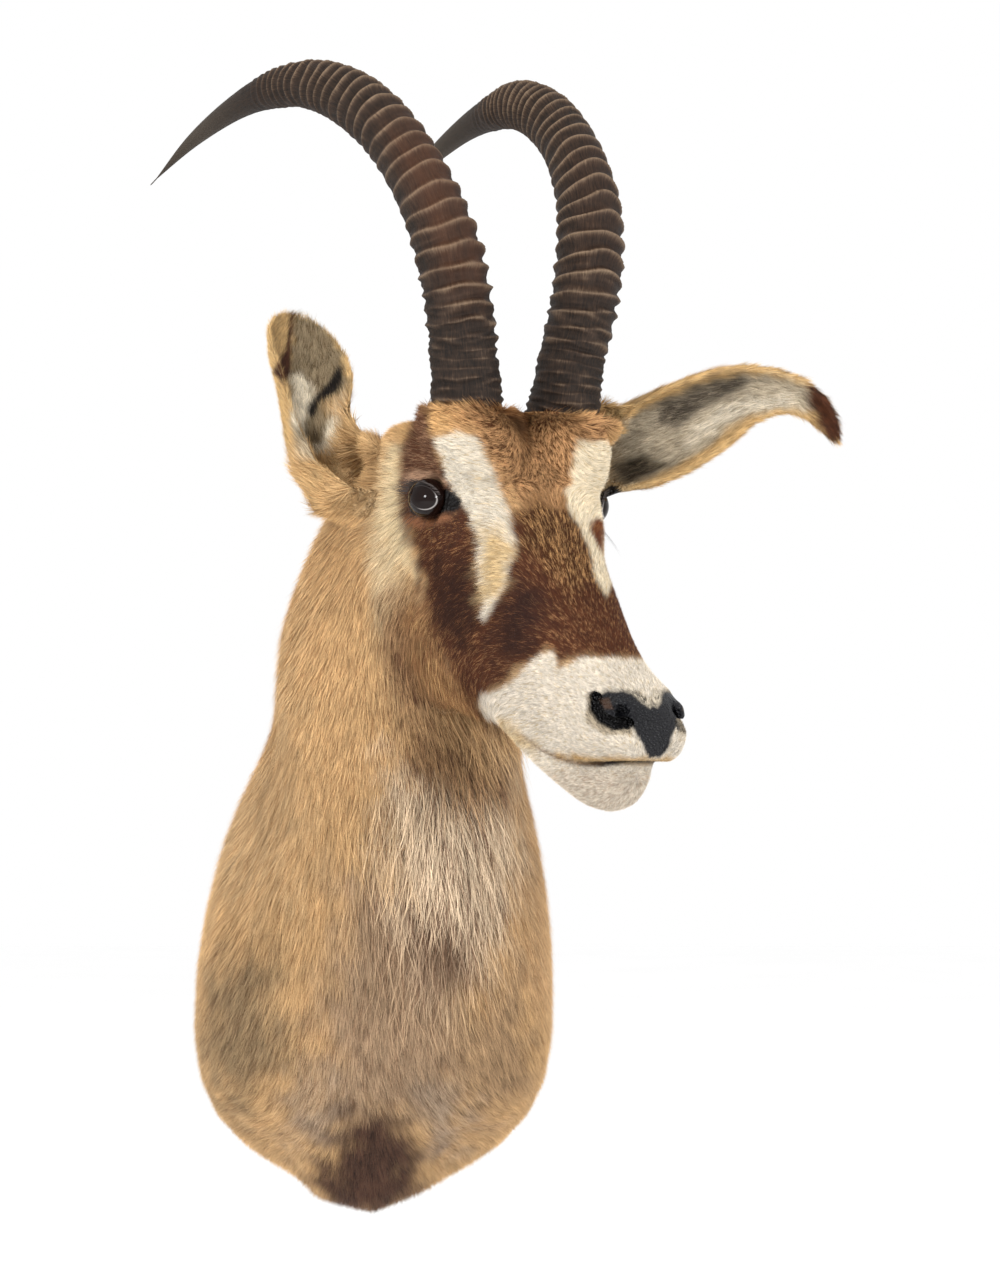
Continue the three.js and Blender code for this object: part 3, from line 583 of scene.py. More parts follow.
def coat_colours(points, facing, wobble):
    """The coat's colour at each point, that of its odd hairs, their share, and what paints over them."""
    colours = np.tile(colour_of("#c29e70"), (len(points), 1))
    odd = np.tile(colour_of("#94704a"), (len(points), 1))
    odd_share = np.full(len(points), 0.3)

    def paint(code, odd_code, chance, share):
        share = np.clip(share, 0, 1)
        for kept, new in ((colours, colour_of(code)), (odd, colour_of(odd_code))):
            kept += (new - kept) * share[:, None]
        odd_share[:] += (chance - odd_share) * share

    def paint_all(markings, seen, where):
        for _, code, odd_code, chance, soft, outline in markings:
            edge = between(-soft, soft, inside(seen, outline) + wobble * soft * 0.9)
            paint(code, odd_code, chance, edge * where)

    seen, places = picture_place(points), in_head(points)
    # The neck's markings lie on its front, and the head's from the ears to the nose. The jaw is a greyer tan.
    front = between(-0.1, 0.25, -facing[:, 1])
    paint_all(COAT_MARKINGS, seen, front * (points[:, 2] < 0.42))
    on_head = between(-115, -85, places[:, 0] - 0.25 * (places[:, 2] + 150))
    on_head *= between(-20, 20, places[:, 0] + 120 - 0.95 * (-290 - places[:, 2]).clip(0))
    ear = ear_share(points)
    paint("#b3946c", "#7b5c40", 0.35, on_head * between(-130, -210, places[:, 2]))
    mirrored = picture_place(right_half(points))
    paint_all(HEAD_MARKINGS, mirrored, on_head * (1 - ear))
    paint_all(LEFT_MARKINGS, seen, on_head * (1 - ear) * (places[:, 1] > 10) * front)
    paint_all(RIGHT_MARKINGS, seen, on_head * (1 - ear) * (places[:, 1] < 0))
    # The ears are golden behind, and what is drawn of their inside lies only where they face the camera.
    inner = between(-0.2, 0.05, -facing[:, 1]) * ear
    paint("#c5a472", "#a58252", 0.3, ear)
    paint_all(RIGHT_EAR_MARKINGS, seen, inner * (places[:, 1] < 0))
    paint_all(LEFT_EAR_MARKINGS, seen, inner * (places[:, 1] > 0))
    return colours, odd, odd_share, paint


ATTRIBUTE_KINDS = {1: ("FLOAT", "value"), 3: ("FLOAT_VECTOR", "vector"), 4: ("FLOAT_COLOR", "color")}


def with_attributes(made, **fields):
    """Keeps numbers, directions or colours with the vertices of a mesh."""
    for name, values in fields.items():
        kind, key = ATTRIBUTE_KINDS[1 if values.ndim == 1 else values.shape[1]]
        if name not in made.data.attributes:
            made.data.attributes.new(name, kind, "POINT")
        made.data.attributes[name].data.foreach_set(key, values.astype(np.float32).ravel())


# The way that the hair lies: a direction at each of these places in mm, those of the head in its own frame,
# and how far each reaches.
HEAD_COMB_REACH, BODY_COMB_REACH, EAR_COMB_REACH = 0.05, 0.11, 0.09
HEAD_COMB = [
    ((252, -5, -322), (-0.3, -0.3, 0.9)), ((235, -40, -290), (-0.7, -0.6, 0.3)),
    ((200, -40, -262), (-0.8, -0.3, 0.5)), ((150, -15, -200), (-0.75, 0, 0.66)),
    ((110, -15, -150), (-0.7, -0.1, 0.7)), ((80, -20, -105), (-0.6, -0.5, 0.6)),
    ((50, -5, -60), (0.1, -0.4, -0.4)), ((30, -10, -20), (0.5, -0.1, -0.8)),
    ((45, -60, -60), (-0.5, -0.6, 0.4)), ((30, -85, -130), (-0.7, -0.3, -0.3)),
    ((60, -70, -180), (-0.7, -0.2, -0.2)), ((110, -58, -240), (-0.8, -0.2, 0.0)),
    ((180, -50, -310), (-0.9, -0.2, 0.1)), ((210, -45, -340), (-0.8, -0.3, 0.3)),
    ((200, -25, -390), (-0.8, -0.1, -0.4)), ((150, -38, -370), (-0.9, 0, -0.1)),
    ((90, -45, -340), (-0.9, 0, -0.3)), ((0, -90, -200), (-0.7, 0, -0.7)),
    ((-40, -100, -120), (-0.8, -0.1, -0.6)), ((-60, -80, -300), (-0.5, 0, -0.9)),
    ((0, -60, 0), (-0.8, -0.3, 0.3)), ((-90, -30, -5), (-1, 0, -0.1)),
    ((-90, -100, -60), (-0.9, -0.3, 0.2)),
]
BODY_COMB = [
    ((40, -260, 450), (0, 0.6, -0.8)), ((30, -200, 380), (0, 0.6, -0.8)), ((0, -60, 215), (0, 0.6, -0.8)),
    ((60, -430, 200), (0, -0.1, -1)), ((130, -380, 250), (0.2, 0, -1)), ((-60, -350, 300), (-0.2, 0.1, -1)),
    ((150, -330, 150), (0.15, 0.2, -1)), ((-110, -330, 100), (-0.15, 0.2, -1)),
    ((20, -430, 50), (0, 0, -1)), ((-160, -200, 0), (-0.1, 0.5, -0.8)), ((190, -200, 0), (0.1, 0.5, -0.8)),
    ((0, -380, -100), (0, 0.2, -1)), ((-80, -330, -120), (-0.35, 0.1, -0.9)),
    ((80, -330, -120), (0.35, 0.1, -0.9)), ((-10, -230, -250), (0, 0.5, -0.9)),
    ((-75, -270, -190), (-0.9, 0.2, 0.1)), ((60, -270, -190), (0.9, 0.2, 0.1)),
    ((-170, -100, -150), (-0.1, 0.8, -0.4)), ((170, -100, -150), (0.1, 0.8, -0.4)),
    ((0, -60, -250), (0, 1, 0)),
]


def comb_field(points, facing):
    """The way that the hair lies at each point, along the skin."""
    total = np.zeros_like(points)

    def pull(place, way, reach):
        weight = np.exp(-((points - place) ** 2).sum(1) / reach**2)
        total[:] += weight[:, None] * unit(np.array(way, float))

    for place, way in HEAD_COMB:
        for side in (-1, 1):
            mirror = np.array((1, -side, 1))
            pull(head_place(place * mirror), way * mirror @ HEAD_AXES, HEAD_COMB_REACH)
    for place, way in BODY_COMB:
        pull(np.array(place) / 1000, way, BODY_COMB_REACH)
    ear = ear_share(points)
    for line in EAR_LINES:
        gap, _, heading = line_distance(points, line)
        share = ear * (gap < EAR_COMB_REACH)
        total = total * (1 - share[:, None]) + heading * share[:, None]
    return unit(total - facing * (total * facing).sum(1, keepdims=True))


def nape_gap(points):
    """How far points are from the ridge of the neck, where a short mane stands up."""
    return line_distance(points, NAPE)[0]


NECK_CONTRAST, MORE_ON_HEAD = 0.26, 0.12  # how much streaks along the hair lighten and darken it
COMB_DRIFT = 0.24  # how far the lie of the hair strays from the combed way


def dress(made, lump):
    """Works out hair length, lie and colours over a part of the skin, with uneven patches of about lump."""
    points, facing = places_of(made), facing_of(made)
    kept = shares[made.name]
    comb = comb_field(points, facing)
    drift = np.stack([rough(points, lump, seed) for seed in (1, 2, 3)], 1)
    comb = unit(comb + COMB_DRIFT * (drift - facing * (drift * facing).sum(1, keepdims=True)))
    streaks = rough(points - comb * (points * comb).sum(1, keepdims=True) * 0.85, lump * 0.2, 4)
    wobble = rough(points, lump * 0.5, 5) + 0.6 * streaks
    colours, odd, odd_share, paint = coat_colours(points, facing, wobble)
    contrast = NECK_CONTRAST + MORE_ON_HEAD * between(-115, -85, in_head(points)[:, 0])
    shade = (1 + contrast * streaks + 0.1 * rough(points, lump * 1.5, 6))[:, None]
    colours *= shade
    odd *= shade
    mirrored = right_half(points)
    places = in_head(mirrored)
    level = round_eye(places)[3]
    near = near_eye(places) < EYE_SURROUNDINGS
    seen = picture_place(mirrored)
    rim = np.maximum(1 - between(1.12, 1.2, level), np.clip(inside(seen, EYE_RIM) / 1.5 + 0.6, 0, 1))
    rim *= near_eye(places) < 42
    # Black edges of the lids, and black in the nostrils as painted shade of their depth; then the dark wings
    # of the nose and the dark lips; and brown as painted shade in the groove at the corner of the mouth and
    # in the creases before the ear.
    paint("#0f0c0b", "#0f0c0b", 0, rim)
    paint("#0b0a0b", "#0b0a0b", 0, between(0.25, 0.6, kept["nostril"]))
    paint("#4a3426", "#33231a", 0.3, 0.8 * np.clip(inside(seen, WING) / 3 + 0.5, 0, 1) * (places[:, 0] > 200))
    paint("#1c1310", "#140e0c", 0.3, 1.3 * kept["mouth"] * between(150, 200, places[:, 0]))
    paint("#8a6a48", "#6b4e33", 0.3, kept["mouth"] * (1 - between(160, 215, places[:, 0])) * 0.8)
    paint("#8a683f", "#6b4c2c", 0.3, kept["creases"] * 0.8)
    pad = np.clip(inside(seen, NOSE_PAD) / 2 + 0.5, 0, 1) * (places[:, 0] > 200)
    damp = np.maximum.reduce([pad, between(0.1, 0.3, kept["nostril"]), rim])
    length = hair_length(points) * (1 - 0.55 * (1 - between(1.2, 2.6, level)) * near)
    mouth_gap = line_distance(seen, MOUTH_LINE)[0]
    length *= 1 - 0.45 * (1 - between(0, 14, mouth_gap)) * (places[:, 0] > 60)
    length *= 0.2 + 0.8 * between(0.0, 0.05, -points[:, 1])
    rise = 0.5 * (1 - between(42, 60, horn_gap(points))) + 0.5 * (1 - between(0.0, 0.06, nape_gap(points)))
    with_attributes(
        made,
        comb=comb,
        length=length,
        bare=damp,
        rise=rise,
        odd_share=odd_share,
        colour=np.column_stack([np.clip(colours, 0, 1), np.ones(len(points))]),
        odd=np.column_stack([np.clip(odd, 0, 1), np.ones(len(points))]),
    )


dress(skin_neck, 0.05)
dress(skin_head, 0.03)


def add(tree, kind, settings=None, inputs=None):
    """Adds a node to a tree, with its settings, and its inputs set or linked."""
    node = tree.nodes.new(kind)
    for name, value in (settings or {}).items():
        setattr(node, name, value)
    for name, value in (inputs or {}).items():
        socket = node.inputs[name]
        if isinstance(value, bpy.types.NodeSocket):
            tree.links.new(value, socket)
        else:
            socket.default_value = value
    return node


def new_material(name):
    material = bpy.data.materials.new(name)
    material.use_nodes = True
    material.node_tree.nodes.clear()
    return material, material.node_tree


def end_material(tree, shader):
    add(tree, "ShaderNodeOutputMaterial", None, {"Surface": shader.outputs[0]})


# Tanned antelope skin, seen between the hairs and bare on the nose and the lids' edges. Dull under the
# coat, and pebbled and with a low gloss where it is bare. It takes the coat's colours, darkened by a fine
# grain to between 0.45 and 1 of them: painted shade of the hair over the skin.
skin_material, tree = new_material("tanned skin")
colour = add(tree, "ShaderNodeAttribute", {"attribute_name": "colour"}).outputs["Color"]
bare = add(tree, "ShaderNodeAttribute", {"attribute_name": "bare"}).outputs["Fac"]
place = add(tree, "ShaderNodeTexCoord").outputs["Object"]
grain = add(tree, "ShaderNodeTexNoise", None, {"Vector": place, "Scale": 900.0, "Detail": 3.0})
shade = add(tree, "ShaderNodeMapRange", None, {"Value": grain.outputs["Fac"], "To Min": 0.45, "To Max": 1.0})
under = add(tree, "ShaderNodeMix", {"data_type": "RGBA", "blend_type": "MULTIPLY"},
            {"Factor": 1.0, 6: colour, 7: shade.outputs["Result"]})
pebbles = add(tree, "ShaderNodeTexVoronoi", None, {"Vector": place, "Scale": 360.0})
bump = add(tree, "ShaderNodeBump", None,
           {"Strength": 1.0, "Distance": 0.003, "Height": pebbles.outputs["Distance"]})
gloss = add(tree, "ShaderNodeMapRange", None, {"Value": bare, "To Min": 0.75, "To Max": 0.36})
shader = add(tree, "ShaderNodeBsdfPrincipled", None,
             {"Base Color": under.outputs[2], "Roughness": gloss.outputs["Result"],
              "Normal": bump.outputs["Normal"], "Specular IOR Level": 0.22})
end_material(tree, shader)

for part in (skin_neck, skin_head):
    part.data.materials.clear()
    part.data.materials.append(skin_material)
    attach(part, "root")
    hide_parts("hide")

# The coat
# Guard hairs over the whole hide, which stayed in the skin when it was tanned: each a thin blade that leaves
# the skin, curves over and lies along it. They grow in eight pieces: face, muzzle, poll, ears, three strips
# of the neck, and the throat, where they are long and thin.

# Antelope hair: keratin with a soft low gloss, darker at the root as painted shade of the coat over it and
# lighter at the tip, with tones that differ from tuft to tuft and from hair to hair, and here and there a
# hair of another colour.
hair_material, tree = new_material("antelope hair")
read = {name: add(tree, "ShaderNodeAttribute", {"attribute_name": name}).outputs
        for name in ("colour", "odd", "odd_share", "tone", "choice", "along")}
is_odd = add(tree, "ShaderNodeMath", {"operation": "LESS_THAN"},
             {0: read["choice"]["Fac"], 1: read["odd_share"]["Fac"]})
colour = add(tree, "ShaderNodeMix", {"data_type": "RGBA"},
             {"Factor": is_odd.outputs[0], 6: read["colour"]["Color"], 7: read["odd"]["Color"]})
# Painted shade along each hair: darker at the root, where the coat shades it, and lighter at the tip.
root_shade = add(tree, "ShaderNodeMapRange", None,
                 {"Value": read["along"]["Fac"], "To Min": 0.72, "To Max": 1.2})
tone_shade = add(tree, "ShaderNodeMapRange", None,
                 {"Value": read["tone"]["Fac"], "To Min": 0.6, "To Max": 1.44})
both = add(tree, "ShaderNodeMath", {"operation": "MULTIPLY"},
           {0: root_shade.outputs["Result"], 1: tone_shade.outputs["Result"]})
shaded = add(tree, "ShaderNodeVectorMath", {"operation": "SCALE"},
             {0: colour.outputs[2], "Scale": both.outputs[0]})
shader = add(tree, "ShaderNodeBsdfPrincipled", None,
             {"Base Color": shaded.outputs[0], "Roughness": 0.65, "Specular IOR Level": 0.16})
end_material(tree, shader)


ROOT_DEPTH = 0.03  # how far a hair's root lies under the skin, as a share of its length


def hair_shape(name, width, bend, stretches):
    """One hair of length 1 along Y, rising along Z, in joined stretches that narrow to a point."""
    points, across, along = [], [], []
    for row in range(stretches):
        share = row / stretches
        half = width / 2 * (1 - 0.25 * share)
        for side in (-1, 1):
            lift = HAIR_LIFT * (2 * share - share**2) - ROOT_DEPTH * (row == 0)
            points.append((side * half + bend * share**2, share, lift))
            across.append((0.5 + side * 0.5 * (1 - share), share, 0))
            along.append(share)
    points.append((bend, 1.0, HAIR_LIFT))
    across.append((0.5, 1, 0))
    along.append(1.0)
    last = len(points) - 1
    faces = [(place, place + 1, place + 3, place + 2) for place in range(0, last - 2, 2)]
    faces.append((last - 2, last - 1, last))
    made = mesh_object(name, points, faces)
    with_attributes(made, along=np.array(along), across=np.array(across, float))
    return made


def coat_tree(name):
    """Geometry nodes that grow hairs on a skin by its attributes: thick is the share of hairs that grow
    there, comb the way they lie, rise how much they stand up, and length how long they are. Each hair keeps
    a tone and a choice for its material, partly its tuft's, and its own cell of the map for its colours."""
    tree = bpy.data.node_groups.new(name, "GeometryNodeTree")
    for title, kind in (
        ("Skin", "NodeSocketGeometry"),
        ("Straight Hair", "NodeSocketObject"),
        ("Bent Hair", "NodeSocketObject"),
        ("Other Bent Hair", "NodeSocketObject"),
        ("Hairs per Square Metre", "NodeSocketFloat"),
        ("Disorder", "NodeSocketFloat"),
        ("Length Variation", "NodeSocketFloat"),
        ("Tufts per Metre", "NodeSocketFloat"),
        ("Hair Material", "NodeSocketMaterial"),
        ("Seed", "NodeSocketInt"),
    ):
        tree.interface.new_socket(title, in_out="INPUT", socket_type=kind)
    tree.interface.new_socket("Coat", in_out="OUTPUT", socket_type="NodeSocketGeometry")
    given = add(tree, "NodeGroupInput").outputs
    kept = {}
    for title, kind in (("thick", "FLOAT"), ("comb", "FLOAT_VECTOR"), ("length", "FLOAT"), ("rise", "FLOAT")):
        named = add(tree, "GeometryNodeInputNamedAttribute", {"data_type": kind}, {"Name": title})
        kept[title] = named.outputs["Attribute"]
    density = add(tree, "ShaderNodeMath", {"operation": "MULTIPLY"},
                  {0: given["Hairs per Square Metre"], 1: kept["thick"]})
    roots = add(tree, "GeometryNodeDistributePointsOnFaces", {"distribute_method": "RANDOM"},
                {"Mesh": given["Skin"], "Density": density.outputs[0], "Seed": given["Seed"]}).outputs
    chance = [
        add(tree, "FunctionNodeRandomValue", {"data_type": "FLOAT_VECTOR"},
            {0: (-1, -1, -1), 1: (1, 1, 1), "Seed": seed}).outputs[0]
        for seed in (11, 12)
    ]
    stray = add(tree, "ShaderNodeVectorMath", {"operation": "SCALE"},
                {0: chance[0], "Scale": given["Disorder"]})
    lift = add(tree, "ShaderNodeVectorMath", {"operation": "SCALE"},
               {0: roots["Normal"], "Scale": kept["rise"]})
    risen = add(tree, "ShaderNodeVectorMath", {"operation": "ADD"}, {0: kept["comb"], 1: lift.outputs[0]})
    way = add(tree, "ShaderNodeVectorMath", {"operation": "ADD"}, {0: risen.outputs[0], 1: stray.outputs[0]})
    twist = add(tree, "ShaderNodeVectorMath", {"operation": "SCALE"}, {0: chance[1], "Scale": 0.45})
    up = add(tree, "ShaderNodeVectorMath", {"operation": "ADD"}, {0: roots["Normal"], 1: twist.outputs[0]})
    turn = add(tree, "FunctionNodeAxesToRotation", {"primary_axis": "Y", "secondary_axis": "Z"},
               {"Primary Axis": way.outputs[0], "Secondary Axis": up.outputs[0]})
    place = add(tree, "GeometryNodeInputPosition").outputs[0]
    shared = []
    for seed, offset in ((13, (0, 0, 0)), (16, (3.7, 1.9, 5.3))):
        moved = add(tree, "ShaderNodeVectorMath", {"operation": "ADD"}, {0: place, 1: offset})
        tuft = add(tree, "ShaderNodeTexNoise", None,
                   {"Vector": moved.outputs[0], "Scale": given["Tufts per Metre"], "Detail": 1.0})
        tuft = add(tree, "ShaderNodeMapRange", None,
                   {"Value": tuft.outputs["Fac"], "From Min": 0.38, "From Max": 0.62})
        single = add(tree, "FunctionNodeRandomValue", {"data_type": "FLOAT"},
                     {2: 0.0, 3: 0.45, "Seed": seed}).outputs[1]
        shared.append(add(tree, "ShaderNodeMath", {"operation": "MULTIPLY_ADD"},
                          {0: tuft.outputs["Result"], 1: 0.55, 2: single}).outputs[0])
    tone, choice = shared
    spread = add(tree, "FunctionNodeRandomValue", {"data_type": "FLOAT"},
                 {2: -1.0, 3: 1.0, "Seed": 14}).outputs[1]
    change = add(tree, "ShaderNodeMath", {"operation": "MULTIPLY_ADD"},
                 {0: spread, 1: given["Length Variation"], 2: 1.0})
    size = add(tree, "ShaderNodeMath", {"operation": "MULTIPLY"}, {0: kept["length"], 1: change.outputs[0]})
    shapes = add(tree, "GeometryNodeJoinGeometry")
    for title in ("Straight Hair", "Bent Hair", "Other Bent Hair"):
        shape = add(tree, "GeometryNodeObjectInfo", {"transform_space": "ORIGINAL"}, {"Object": given[title]})
        single = add(tree, "GeometryNodeGeometryToInstance", None, {"Geometry": shape.outputs["Geometry"]})
        tree.links.new(single.outputs[0], shapes.inputs[0])
    pick = add(tree, "FunctionNodeRandomValue", {"data_type": "INT"}, {4: 0, 5: 2, "Seed": 15}).outputs[2]
    count = add(tree, "GeometryNodeAttributeDomainSize", {"component": "POINTCLOUD"},
                {"Geometry": roots["Points"]})
    root = add(tree, "ShaderNodeMath", {"operation": "SQRT"}, {0: count.outputs["Point Count"]})
    side = add(tree, "ShaderNodeMath", {"operation": "CEIL"}, {0: root.outputs[0]}).outputs[0]
    index = add(tree, "GeometryNodeInputIndex").outputs[0]
    column = add(tree, "ShaderNodeMath", {"operation": "MODULO"}, {0: index, 1: side})
    rowed = add(tree, "ShaderNodeMath", {"operation": "DIVIDE"}, {0: index, 1: side})
    row = add(tree, "ShaderNodeMath", {"operation": "FLOOR"}, {0: rowed.outputs[0]})
    cell = add(tree, "ShaderNodeCombineXYZ", None, {"X": column.outputs[0], "Y": row.outputs[0]}).outputs[0]
    points = roots["Points"]
    stored = (("tone", "FLOAT", tone), ("choice", "FLOAT", choice), ("cell", "FLOAT_VECTOR", cell))
    for title, kind, value in stored:
        points = add(tree, "GeometryNodeStoreNamedAttribute", {"data_type": kind, "domain": "POINT"},
                     {"Geometry": points, "Name": title, "Value": value}).outputs[0]
    hairs = add(tree, "GeometryNodeInstanceOnPoints", None,
                {"Points": points, "Instance": shapes.outputs[0], "Pick Instance": True,
                 "Instance Index": pick, "Rotation": turn.outputs[0], "Scale": size.outputs[0]})
    real = add(tree, "GeometryNodeRealizeInstances", None, {"Geometry": hairs.outputs[0]})
    cell, across = (
        add(tree, "GeometryNodeInputNamedAttribute", {"data_type": "FLOAT_VECTOR"},
            {"Name": title}).outputs["Attribute"]
        for title in ("cell", "across")
    )
    inset = add(tree, "ShaderNodeVectorMath", {"operation": "MULTIPLY_ADD"},
                {0: across, 1: (0.8,) * 3, 2: (0.1,) * 3})
    place = add(tree, "ShaderNodeVectorMath", {"operation": "ADD"}, {0: cell, 1: inset.outputs[0]})
    share = add(tree, "ShaderNodeMath", {"operation": "DIVIDE"}, {0: 1.0, 1: side})
    placed = add(tree, "ShaderNodeVectorMath", {"operation": "SCALE"},
                 {0: place.outputs[0], "Scale": share.outputs[0]})
    mapped = add(tree, "GeometryNodeStoreNamedAttribute", {"data_type": "FLOAT2", "domain": "CORNER"},
                 {"Geometry": real.outputs[0], "Name": "OFBake", "Value": placed.outputs[0]})
    dressed = add(tree, "GeometryNodeSetMaterial", None,
                  {"Geometry": mapped.outputs[0], "Material": given["Hair Material"]})
    add(tree, "NodeGroupOutput", None, {"Coat": dressed.outputs[0]})
    return tree


hair_growth = coat_tree("hair growth")


def grow(name, skin, thick, per_square_metre, width, seed,
         stretches=1, disorder=0.14, variation=0.3, longer=1.0, tufts=330):
    """Grows one piece of the coat on a part of the skin. Width is a share of a hair's length."""
    with_attributes(skin, thick=thick, length=skin_lengths[skin.name] * longer)
    made = plain_object(name, skin.data)
    shapes = [hair_shape("hair", width, bend, stretches) for bend in (0.0, 0.16, -0.16)]
    modifier = made.modifiers.new("growth", "NODES")
    modifier.node_group = hair_growth
    wanted = {
        "Straight Hair": shapes[0],
        "Bent Hair": shapes[1],
        "Other Bent Hair": shapes[2],
        "Hairs per Square Metre": per_square_metre,
        "Disorder": disorder,
        "Length Variation": variation,
        "Tufts per Metre": tufts,
        "Hair Material": hair_material,
        "Seed": seed,
    }
    for item in hair_growth.interface.items_tree:
        if item.name in wanted:
            modifier[item.identifier] = wanted[item.name]
    settled(made)
    for shape in shapes:
        bpy.data.objects.remove(shape)
    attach(made, "root")


skin_lengths = {part.name: numbers(part.data.attributes["length"].data, "value", 1)[:, 0]
                for part in (skin_neck, skin_head)}

# A piece grows where the skin isn't bare, and the head's and the neck's meet within this of the cut.
SEAM_OVERLAP = 0.003
points = places_of(skin_head)
places = in_head(points)
ears = ear_share(points)
damp = numbers(skin_head.data.attributes["bare"].data, "value", 1)[:, 0]
ahead = (points - np.array(CUT_AT)) @ np.array(CUT_FACING)
grown = (1 - damp) * (ahead > -SEAM_OVERLAP) * (1 - ears)
face = between(-60, -20, places[:, 0])
muzzle = between(100, 140, places[:, 0])
grow("coat_face", skin_head, grown * face * (1 - muzzle), 1_100_000, 0.06, 21)
grow("coat_muzzle", skin_head, grown * muzzle, 1_700_000, 0.08, 27)
grow("coat_poll", skin_head, grown * (1 - face), 900_000, 0.04, 22, tufts=230)
grow("coat_ears", skin_head, (1 - damp) * ears, 900_000, 0.045, 23, longer=1.15, tufts=250)
points = places_of(skin_neck)
facing = facing_of(skin_neck)
ahead = (points - np.array(CUT_AT)) @ np.array(CUT_FACING)
behind = (facing[:, 1] > 0.75) * (points[:, 1] > -0.02)
grown = (ahead < SEAM_OVERLAP) * (points[:, 1] < -0.007) * (1 - behind)
strips = (("right", -1.0, -0.05, 24), ("middle", -0.05, 0.08, 25), ("left", 0.08, 1.0, 26))
for name, low, high, seed in strips:
    chosen = (points[:, 0] >= low) & (points[:, 0] < high)
    grow("coat_neck_" + name, skin_neck, grown * chosen, 520_000, 0.02, seed, disorder=0.1, tufts=150)
beard = grown * (1 - between(0.03, 0.15, np.linalg.norm((points - THROAT) * (1, 1, 0.45), axis=1)))
grow("coat_throat", skin_neck, beard, 160_000, 0.009, 28,
     stretches=4, disorder=0.12, variation=0.35, longer=1.7, tufts=110)

# Glass eyes
# Blown glass domes painted behind with a dark brown iris, set in clay in the sockets of the form. Here each
# is a whole ball, as the frame's nodes are, and the lids hide its back.

# Glass over dark brown paint: a mirror gloss over a nearly black depth with a faint brown mottle, and a
# pale ring just inside the lids, strongest at the lower front: a painted reflection of the lids' wet edge.
eye_material, tree = new_material("glass eye")
place = add(tree, "ShaderNodeTexCoord").outputs["Object"]
mottle = add(tree, "ShaderNodeTexNoise", None, {"Vector": place, "Scale": 500.0})
ramp = add(tree, "ShaderNodeMix", {"data_type": "RGBA"},
           {"Factor": mottle.outputs["Fac"], 6: opaque("#080404"), 7: opaque("#170b07")})
ring = add(tree, "ShaderNodeAttribute", {"attribute_name": "ring"}).outputs["Fac"]
ringed = add(tree, "ShaderNodeMix", {"data_type": "RGBA"},
             {"Factor": ring, 6: ramp.outputs[2], 7: opaque("#c9c3bf")})
shader = add(tree, "ShaderNodeBsdfPrincipled", None,
             {"Base Color": ringed.outputs[2], "Roughness": 0.03, "IOR": 1.5, "Specular IOR Level": 0.16})
end_material(tree, shader)

# A pale ring painted on each ball just inside the lids, strongest at the lower front: a painted reflection.
REFLECTION_RING_AT, REFLECTION_RING_WIDTH = 0.86, 0.03  # as shares of the way from the eye's middle to the lids' edge
for side, mirror in (("right", (1, 1, 1)), ("left", (1, -1, 1))):
    ball = bmesh.new()
    bmesh.ops.create_uvsphere(ball, u_segments=160, v_segments=110, radius=EYE_RADIUS / 1000)
    bmesh.ops.translate(ball, verts=ball.verts, vec=head_place(EYE_CENTRE * mirror))
    mesh = bpy.data.meshes.new("glass_eye_" + side)
    ball.to_mesh(mesh)
    ball.free()
    mesh.shade_smooth()
    eye = plain_object(mesh.name, mesh)
    ahead, up, _, level = round_eye(in_head(right_half(places_of(eye))))
    low_front = between(0.2, 1.3, (ahead - up) / np.maximum(np.hypot(ahead, up), 1e-3))
    with_attributes(eye, ring=np.exp(-(((level - REFLECTION_RING_AT) / REFLECTION_RING_WIDTH) ** 2)) * (0.04 + 0.6 * low_front))
    mesh.materials.append(eye_material)
    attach(eye, "root")
    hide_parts("eye_" + side)

# Lashes and feelers
# Coarse black hairs that grow in the edges of the lids and stayed in the skin when it was tanned. The
# lashes stand along the upper lids and sweep back, and a few long feelers stand below and behind each eye.
LASHES, LASH_LENGTH, LASH_WIDTH = 70, 0.011, 0.0006
LASH_ROW_FROM, LASH_ROW_TO = 172, 22  # degrees round the eye, from straight ahead over the top
LASH_ROW_OUT = 1.1  # as a share of the way from the eye's middle to the lids' edge
FEELER_WIDTH, FEELER_LENGTHS = 0.00035, (0.022, 0.038)
FACED_WAY = (0.3, -0.9, 0.2)  # the blades' flat sides turn about this way, to the front
FEELER_ROOTS = ((-27, -12), (-24, -17), (-10, -22), (4, -23), (-29, -5), (14, -22), (-16, -21))

# Coarse black hair, stiff and a little glossy.
lash_material, tree = new_material("black lash hair")
place = add(tree, "ShaderNodeTexCoord").outputs["Object"]
tint = add(tree, "ShaderNodeTexNoise", None, {"Vector": place, "Scale": 300.0})
ramp = add(tree, "ShaderNodeMix", {"data_type": "RGBA"},
           {"Factor": tint.outputs["Fac"], 6: opaque("#0c0908"), 7: opaque("#33241c")})
end_material(tree, add(tree, "ShaderNodeBsdfPrincipled", None,
                       {"Base Color": ramp.outputs[2], "Roughness": 0.45}))


def strands(name, hairs, width):
    """Single long hairs as blades of six stretches: each starts out one way and sags as it goes."""
    steps = 6
    corners, faces = [], []
    for root, way, length, sag in hairs:
        side = unit(np.cross(way, FACED_WAY))
        first = len(corners)
        for step in range(steps + 1):
            share = step / steps
            middle = root + way * length * share + sag * length * share**2
            half = side * width * (1 - share) ** 0.6 / 2
            corners += [middle - half, middle + half] if step < steps else [middle]
        last = len(corners) - 1
        faces += [(i, i + 1, i + 3, i + 2) for i in range(first, last - 2, 2)]
        faces.append((last - 2, last - 1, last))
    made = mesh_object(name, [tuple(corner) for corner in corners], faces)
    made.data.materials.append(lash_material)
    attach(made, "root")


def out_of_eye(ahead, up):
    """The way from the right eye's middle to the point of its ball at these arcs ahead and up."""
    arc = math.hypot(ahead, up)
    angle = arc / EYE_RADIUS
    return EYE_GAZE * math.cos(angle) + (EYE_AHEAD * ahead + EYE_UP * up) / arc * math.sin(angle)


